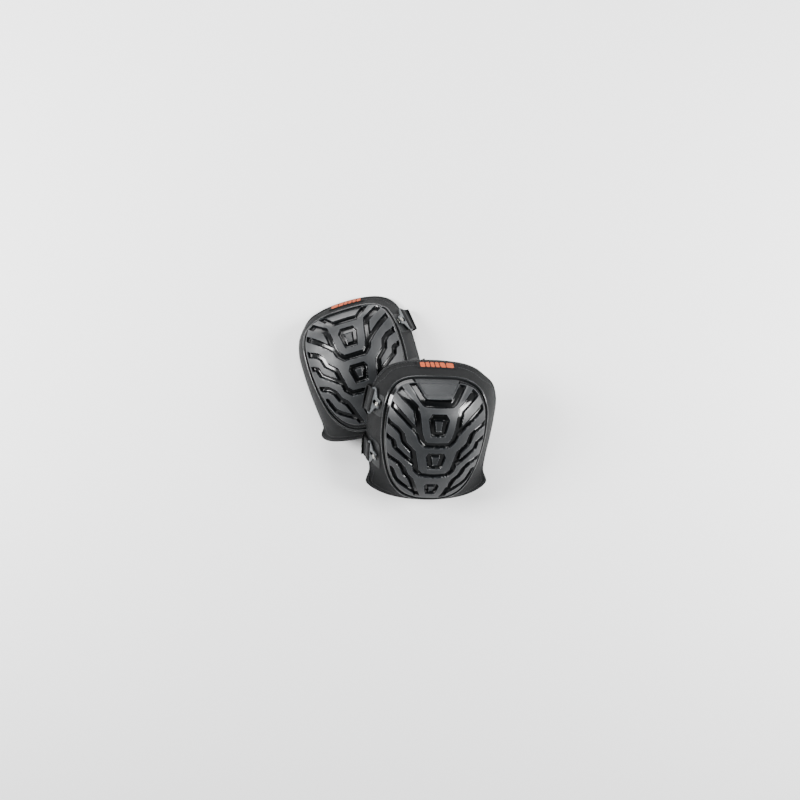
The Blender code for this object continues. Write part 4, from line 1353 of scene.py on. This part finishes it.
@dataclass
class Fastening:
    """One strap with its sewn end, its slider, its clip and the stud that the clip hooks on."""

    surface: PadSurface
    body: PaddedBody
    level: Level
    along: float
    sag: float = 0.0
    stud_across: float = 0.728
    sewn_across: float = -0.90
    strap_width: float = 0.038
    strap_thickness: float = 0.0016
    loop_thickness: float = 0.0014
    loop_length: float = 0.010
    rib_pitch: float = 0.0032
    rib_depth: float = 0.00022
    bulge: float = 0.006
    drop: float = 0.0004
    hem_gap: float = 0.0012
    inner_gap: float = 0.0038
    clip_thickness: float = 0.0022
    clip_travel: float = 0.0065
    clip_bar: float = 0.0036
    clip_rim: float = 0.0022
    post_radius: float = 0.0020
    head_radius: float = 0.0037
    head_height: float = 0.0015
    flange_radius: float = 0.0055
    flange_height: float = 0.0015
    patch_gap: float = 0.0006
    patch_thickness: float = 0.0008
    patch_across: tuple[float, float] = (-0.07, 0.17)
    patch_margin: float = 0.02
    patch_share: float = 0.8
    anchor_thickness: float = 0.0010
    anchor_across: tuple[float, float] = (-0.01, 0.11)
    patch_corner: float = 0.25

    @property
    def name(self) -> str:
        """The side and level that the pieces' names start with."""
        return f"{self.surface.side.value}_{self.level.value}"

    @property
    def flange_foot(self) -> float:
        """Height of the stud flange's underside over the cover."""
        return self.patch_gap + self.patch_thickness + GAP

    @property
    def clip_foot(self) -> float:
        """Height of the clip's underside over the cover."""
        return self.flange_foot + self.flange_height + GAP

    @property
    def head_foot(self) -> float:
        """Height of the stud head's underside over the cover."""
        return self.clip_foot + self.clip_thickness + GAP

    def clip_places(self) -> tuple[float, float, float]:
        """The clip bar's top, the clip's lower end and the loop's end, counted up from the stud."""
        hole = self.head_radius + 2 * GAP
        slot_top = -self.clip_travel - hole - self.clip_rim / 2
        bar_top = slot_top - (self.loop_thickness + 3 * GAP)
        foot_end = bar_top - self.clip_bar
        return bar_top, foot_end, foot_end - self.loop_length

    def wing_frame(self, across: float) -> tuple[Array, Array, Array, Array]:
        """A frame on the wing, in the pad's own frame.

        Args:
            across: where its origin lies across the pad.

        Returns:
            The directions along the hem, up to the crown and out of the cover, and the origin.
        """
        surface = self.surface
        origin = surface.point(across, self.along)
        out = surface.normal(across, self.along)
        up = surface.point(across - math.copysign(STEP, across), self.along) - origin
        up = unit(up - out * float(up @ out))
        return np.cross(up, out), up, out, origin

    def route(self) -> Path:
        """The strap's centres and directions, from its sewn end inside, under and up to the clip.

        Returns:
            The path in the world, with the strap's end turned through the clip and sewn down.
        """
        surface, body, hand = self.surface, self.body, self.surface.side.hand
        across, along = self.sewn_across, self.along
        sewn = surface.point(across, along)
        inside = -float(surface.normal(across, along)[0]) * hand
        level = float(body.lining_height(np.array(abs(across))))
        depth = -level + body.lining_thickness + self.inner_gap + self.strap_thickness / 2
        fixed = surface.offset(across, along, -depth)
        fixed_low = surface.offset(-0.955, along, -depth)
        side, up, out, stud = self.wing_frame(self.stud_across)
        bar_top, foot_end, loop_end = self.clip_places()
        low_foot = self.clip_foot - GAP - self.loop_thickness / 2
        end = stud + up * (loop_end - GAP) + out * low_foot
        hem = surface.point(1.0, along)
        binding = body.binding_radius
        run = -surface.depth - binding - self.drop + self.strap_thickness / 2
        half = self.strap_width / surface.length
        low = surface.point(1.0, np.array([along - half, along, along + half]))[:, 2].min()
        under = low - binding - self.hem_gap - self.strap_thickness / 2
        outward = hand * (binding + GAP + self.strap_thickness / 2 + self.bulge)
        reach = abs(hem[0])
        rows = np.array([
            (*fixed, 0), (*fixed_low, 0),
            (sewn[0] + hand * inside * 0.018, sewn[1], run + 0.004 - self.sag * 0.5, 0.5),
            *[(sewn[0] + hand * inside * share * reach, sewn[1] + (hem[1] - sewn[1]) * share / 2,
               run - self.sag * (1.2 - 0.9 * share), 1) for share in (0.32, 0.42, 0.92, 1.02)],
            (hand * (reach - 0.036), hem[1], run - self.sag * 0.05, 1),
            (hand * (reach - 0.010), hem[1], under, 0.9),
            (hem[0] + outward * 0.5, hem[1], under, 0.7),
            (hem[0] + outward, hem[1], hem[2] + 0.006, 0.4),
            (*(end - up * 0.004 + out * 0.001), 0), (*end, 0),
        ])
        steps = 20
        spots = np.linspace(0, len(rows) - 1, steps * (len(rows) - 1) + 1)
        smooth = spline(rows, np.minimum(spots, len(rows) - 1 - 1e-9))
        sewn_side = -self.wing_frame(across)[0]
        ends = np.array([sewn_side * np.sign(sewn_side[1]) * hand, side * np.sign(side[1]) * hand])
        turn = np.clip((np.arange(len(smooth)) / len(smooth) - 0.4) / 0.2, 0, 1)[:, None]
        flat = np.array((0.0, hand, 0.0))
        share = np.clip(smooth[:, 3:4], 0, 1)
        sides = unit(share * flat + (1 - share) * (ends[0] * (1 - turn) + ends[1] * turn))
        over = self.clip_foot + self.clip_thickness + GAP + self.loop_thickness / 2
        turned = bar_top + GAP + self.loop_thickness / 2
        joined = low_foot + self.loop_thickness + GAP
        loop = np.array([(loop_end, low_foot), (foot_end, low_foot), (bar_top - 0.0005, low_foot),
                         (turned, low_foot + 0.0008), (turned + 0.0002, (low_foot + over) / 2),
                         (turned, over - 0.0008), (bar_top - 0.0005, over), (foot_end + 0.0005, over),
                         (foot_end - 0.0045, joined + 0.0002), (loop_end + 0.0005, joined)])
        fine = spline(loop, np.linspace(0, len(loop) - 1 - 1e-9, 90))
        end_loop = stud + fine[:, :1] * up + fine[:, 1:] * out
        centres = np.vstack([smooth[:-1, :3], end_loop])
        sides = np.vstack([sides[:-1], np.tile(ends[1], (len(fine), 1))])
        run_way = np.gradient(centres, axis=0)
        table = even(np.hstack([centres, sides, unit(np.cross(run_way, sides))]), 300)
        return surface.world_path(table)

    def build(self) -> None:
        """Make the strap, the clip, the slider, the stud and the sewn patches."""
        surface, name, nodes = self.surface, self.name, bpy.data.objects
        pad, clip = f"{surface.side.value}_pad", f"{name}_clip"
        section = webbing_section(self.strap_width, self.loop_thickness, self.rib_pitch, self.rib_depth)
        strap = swept(f"{name}_webbing", self.route(), section, 96)
        dress(strap, WEBBING, "webbing", None, f"{name}_strap", f"{name}_strap_loop")
        _, up, out, stud = self.wing_frame(self.stud_across)
        low = surface.world(surface.point(1.0, self.along))
        high = surface.world(stud + up * self.clip_places()[2] + out * 0.006)
        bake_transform(strap)

        hook = softened_copy(nodes[f"{name}_clip"], f"{name}_hook_plate", 0.00045)
        dress(hook, CLIP_ACETAL, "clip_plastic", clip, f"{name}_clip")
        slider = softened_copy(nodes[f"{name}_slider"], f"{name}_strap_slider", 0.0004)
        dress(slider, SLIDER_ACETAL, "slider_plastic", f"{name}_slider", f"{name}_slider")
        self.build_stud(pad)
        self.build_patches(pad)

    def build_stud(self, pad: str) -> None:
        """The turned stud: a flange on the wing, a post and a domed head over the clip."""
        side, up, out, origin = self.wing_frame(self.stud_across)
        foot, head = self.flange_foot, self.head_foot
        top = self.flange_height + foot
        flange, post, rim = self.flange_radius, self.post_radius, self.head_radius
        profile = np.array([
            (0, foot), (flange - 0.0002, foot), (flange, foot + 0.0002), (flange, top - 0.0003),
            (flange - 0.0004, top), (post + 0.0003, top), (post, top + 0.0003), (post, head - 0.0002),
            (rim - 0.0003, head), (rim, head + 0.0003), (rim, head + 0.0007), (rim * 0.86, head + 0.00125),
            (rim * 0.5, head + 0.00148), (rim * 0.3, head + 0.0012), (0, head + 0.0011),
        ])
        count = 4 * (len(profile) - 1)

        def place(u: Array, v: Array) -> Array:
            """A corner of the turned shape."""
            row = (v + 1) / 2 * (len(profile) - 1)
            radius, level = (np.interp(row, np.arange(len(profile)), profile[:, k]) for k in (0, 1))
            x, y = radius * np.cos(math.pi * u), radius * np.sin(math.pi * u)
            return self.surface.world(origin + x[:, None] * side + y[:, None] * up + level[:, None] * out)

        stud = finish_shell(grid_piece(f"{self.name}_turned_stud", (48, count), place), 35)
        dress(stud, STUD_NICKEL, "stud_metal", pad, f"{self.name}_stud")

    def build_patches(self, pad: str) -> None:
        """The patch under the stud and the tab that sews the strap's other end inside."""
        half = self.strap_width / self.surface.length + self.patch_margin
        across = tuple(self.stud_across + reach for reach in self.patch_across)
        along = (self.along - half * self.patch_share, self.along + half * self.patch_share)
        patch = self.body.patch(f"{self.name}_wing_patch", across, along, self.patch_gap,
                                self.patch_thickness, (28, 28), self.patch_corner)
        dress(patch, PATCH_CLOTH, "patch_cloth", pad, f"{self.name}_stud_patch")
        under = self.body.lining_thickness + self.inner_gap + self.strap_thickness + self.patch_gap
        level = float(self.body.lining_height(np.array(abs(self.sewn_across)))) - under
        across = tuple(self.sewn_across + reach for reach in self.anchor_across)
        tab = self.body.patch(f"{self.name}_sewn_tab", across, (self.along - half, self.along + half),
                              level - self.anchor_thickness, self.anchor_thickness, (24, 24),
                              self.patch_corner)
        dress(tab, PATCH_CLOTH, "patch_cloth", pad, f"{self.name}_anchor")


@dataclass
class KneePad:
    """One whole pad, from its cap to its straps."""

    surface: PadSurface
    lower_sag: float = 0.0
    upper_along: float = 0.24
    lower_along: float = -0.30

    def build(self) -> None:
        """Build the pad's sub-assemblies in the order that they are sewn."""
        body = PaddedBody(self.surface)
        body.build()
        Cap(self.surface).build()
        Fastening(self.surface, body, Level.UPPER, self.upper_along).build()
        Fastening(self.surface, body, Level.LOWER, self.lower_along, self.lower_sag).build()


# ---------------------------------------------------------------- the setting


@dataclass
class Studio:
    """A white sweep in a light tent, seen from straight above through the tent's dark opening."""

    aim: tuple[float, float, float]
    distance: float = 1.00
    elevation: float = 89.7
    lens: float = 27.84
    tent: float = 0.55
    opening: float = 0.12
    opening_edge: tuple[float, float] = (0.74, 0.90)

    def build(self) -> None:
        """Lay the floor, hang the lights and set the camera."""
        bpy.ops.object.select_all(action="DESELECT")
        bpy.ops.mesh.primitive_plane_add(size=12)
        floor = bpy.context.object
        floor.name = "floor"
        paper = bpy.data.materials.new("studio_paper")
        paper.use_nodes = True
        tree = paper.node_tree
        feed(tree, tree.nodes["Principled BSDF"], {"Base Color": linear("#fbfbfb"), "Roughness": 0.9})
        floor.data.materials.append(paper)
        self.light("left_softbox", (-1.5, 0.25, 1.15), 0.7, 70)
        self.light("right_softbox", (1.5, 0.1, 1.15), 0.7, 70)
        self.light("back_softbox", (-0.2, 1.5, 1.3), 1.2, 35)
        self.surround()
        lean = math.radians(self.elevation)
        way = Vector((0, -math.cos(lean), math.sin(lean)))
        bpy.ops.object.camera_add(location=Vector(self.aim) + way * self.distance,
                                  rotation=(math.pi / 2 - lean, 0, 0))
        camera = bpy.context.object
        camera.name = "camera"
        camera.data.lens = self.lens
        bpy.context.scene.camera = camera

    def surround(self) -> None:
        """The tent's white walls, and the dark opening overhead."""
        world = bpy.data.worlds.new("light_tent")
        world.use_nodes = True
        tree = world.node_tree
        back = tree.nodes["Background"]
        way = add_node(tree, "TexCoord").outputs["Generated"]
        height = add_node(tree, "SeparateXYZ", {0: way}).outputs["Z"]
        outer, inner = self.opening_edge
        wall = add_node(tree, "MapRange", {"Value": height, "From Min": outer, "From Max": inner,
                                           "To Min": self.tent, "To Max": self.tent * self.opening},
                        interpolation_type="SMOOTHSTEP")
        feed(tree, back, {"Color": linear("#f7f9fb"), "Strength": wall})
        bpy.context.scene.world = world

    def light(self, name: str, place: tuple[float, float, float], size: float, power: float) -> None:
        """Hang a square softbox that faces the pads.

        Args:
            name: the light's name.
            place: where it hangs.
            size: its side.
            power: its strength in watts.
        """
        bpy.ops.object.light_add(type="AREA", location=place)
        lamp = bpy.context.object
        lamp.name = name
        lamp.data.size = size
        lamp.data.energy = power
        lamp.rotation_euler = (Vector(self.aim) - Vector(place)).to_track_quat("-Z", "Y").to_euler()


def main() -> None:
    """Build both pads over the frame, then the studio round them."""
    logging.basicConfig(level=logging.INFO, format="%(name)s: %(message)s")
    for obj in list(bpy.data.objects):
        bpy.data.objects.remove(obj)
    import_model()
    left = PadSurface(Side.LEFT, math.radians(17.0))
    right = PadSurface(Side.RIGHT, math.radians(-5.0), math.radians(30.0), math.radians(7.0),
                       sewn_splay=0.009)
    Studio(aim=(left.origin[0] + 0.0646, left.origin[1] - 0.0440, 0.080)).build()
    KneePad(left).build()
    KneePad(right, lower_sag=0.0340).build()


if __name__ == "__main__":
    main()
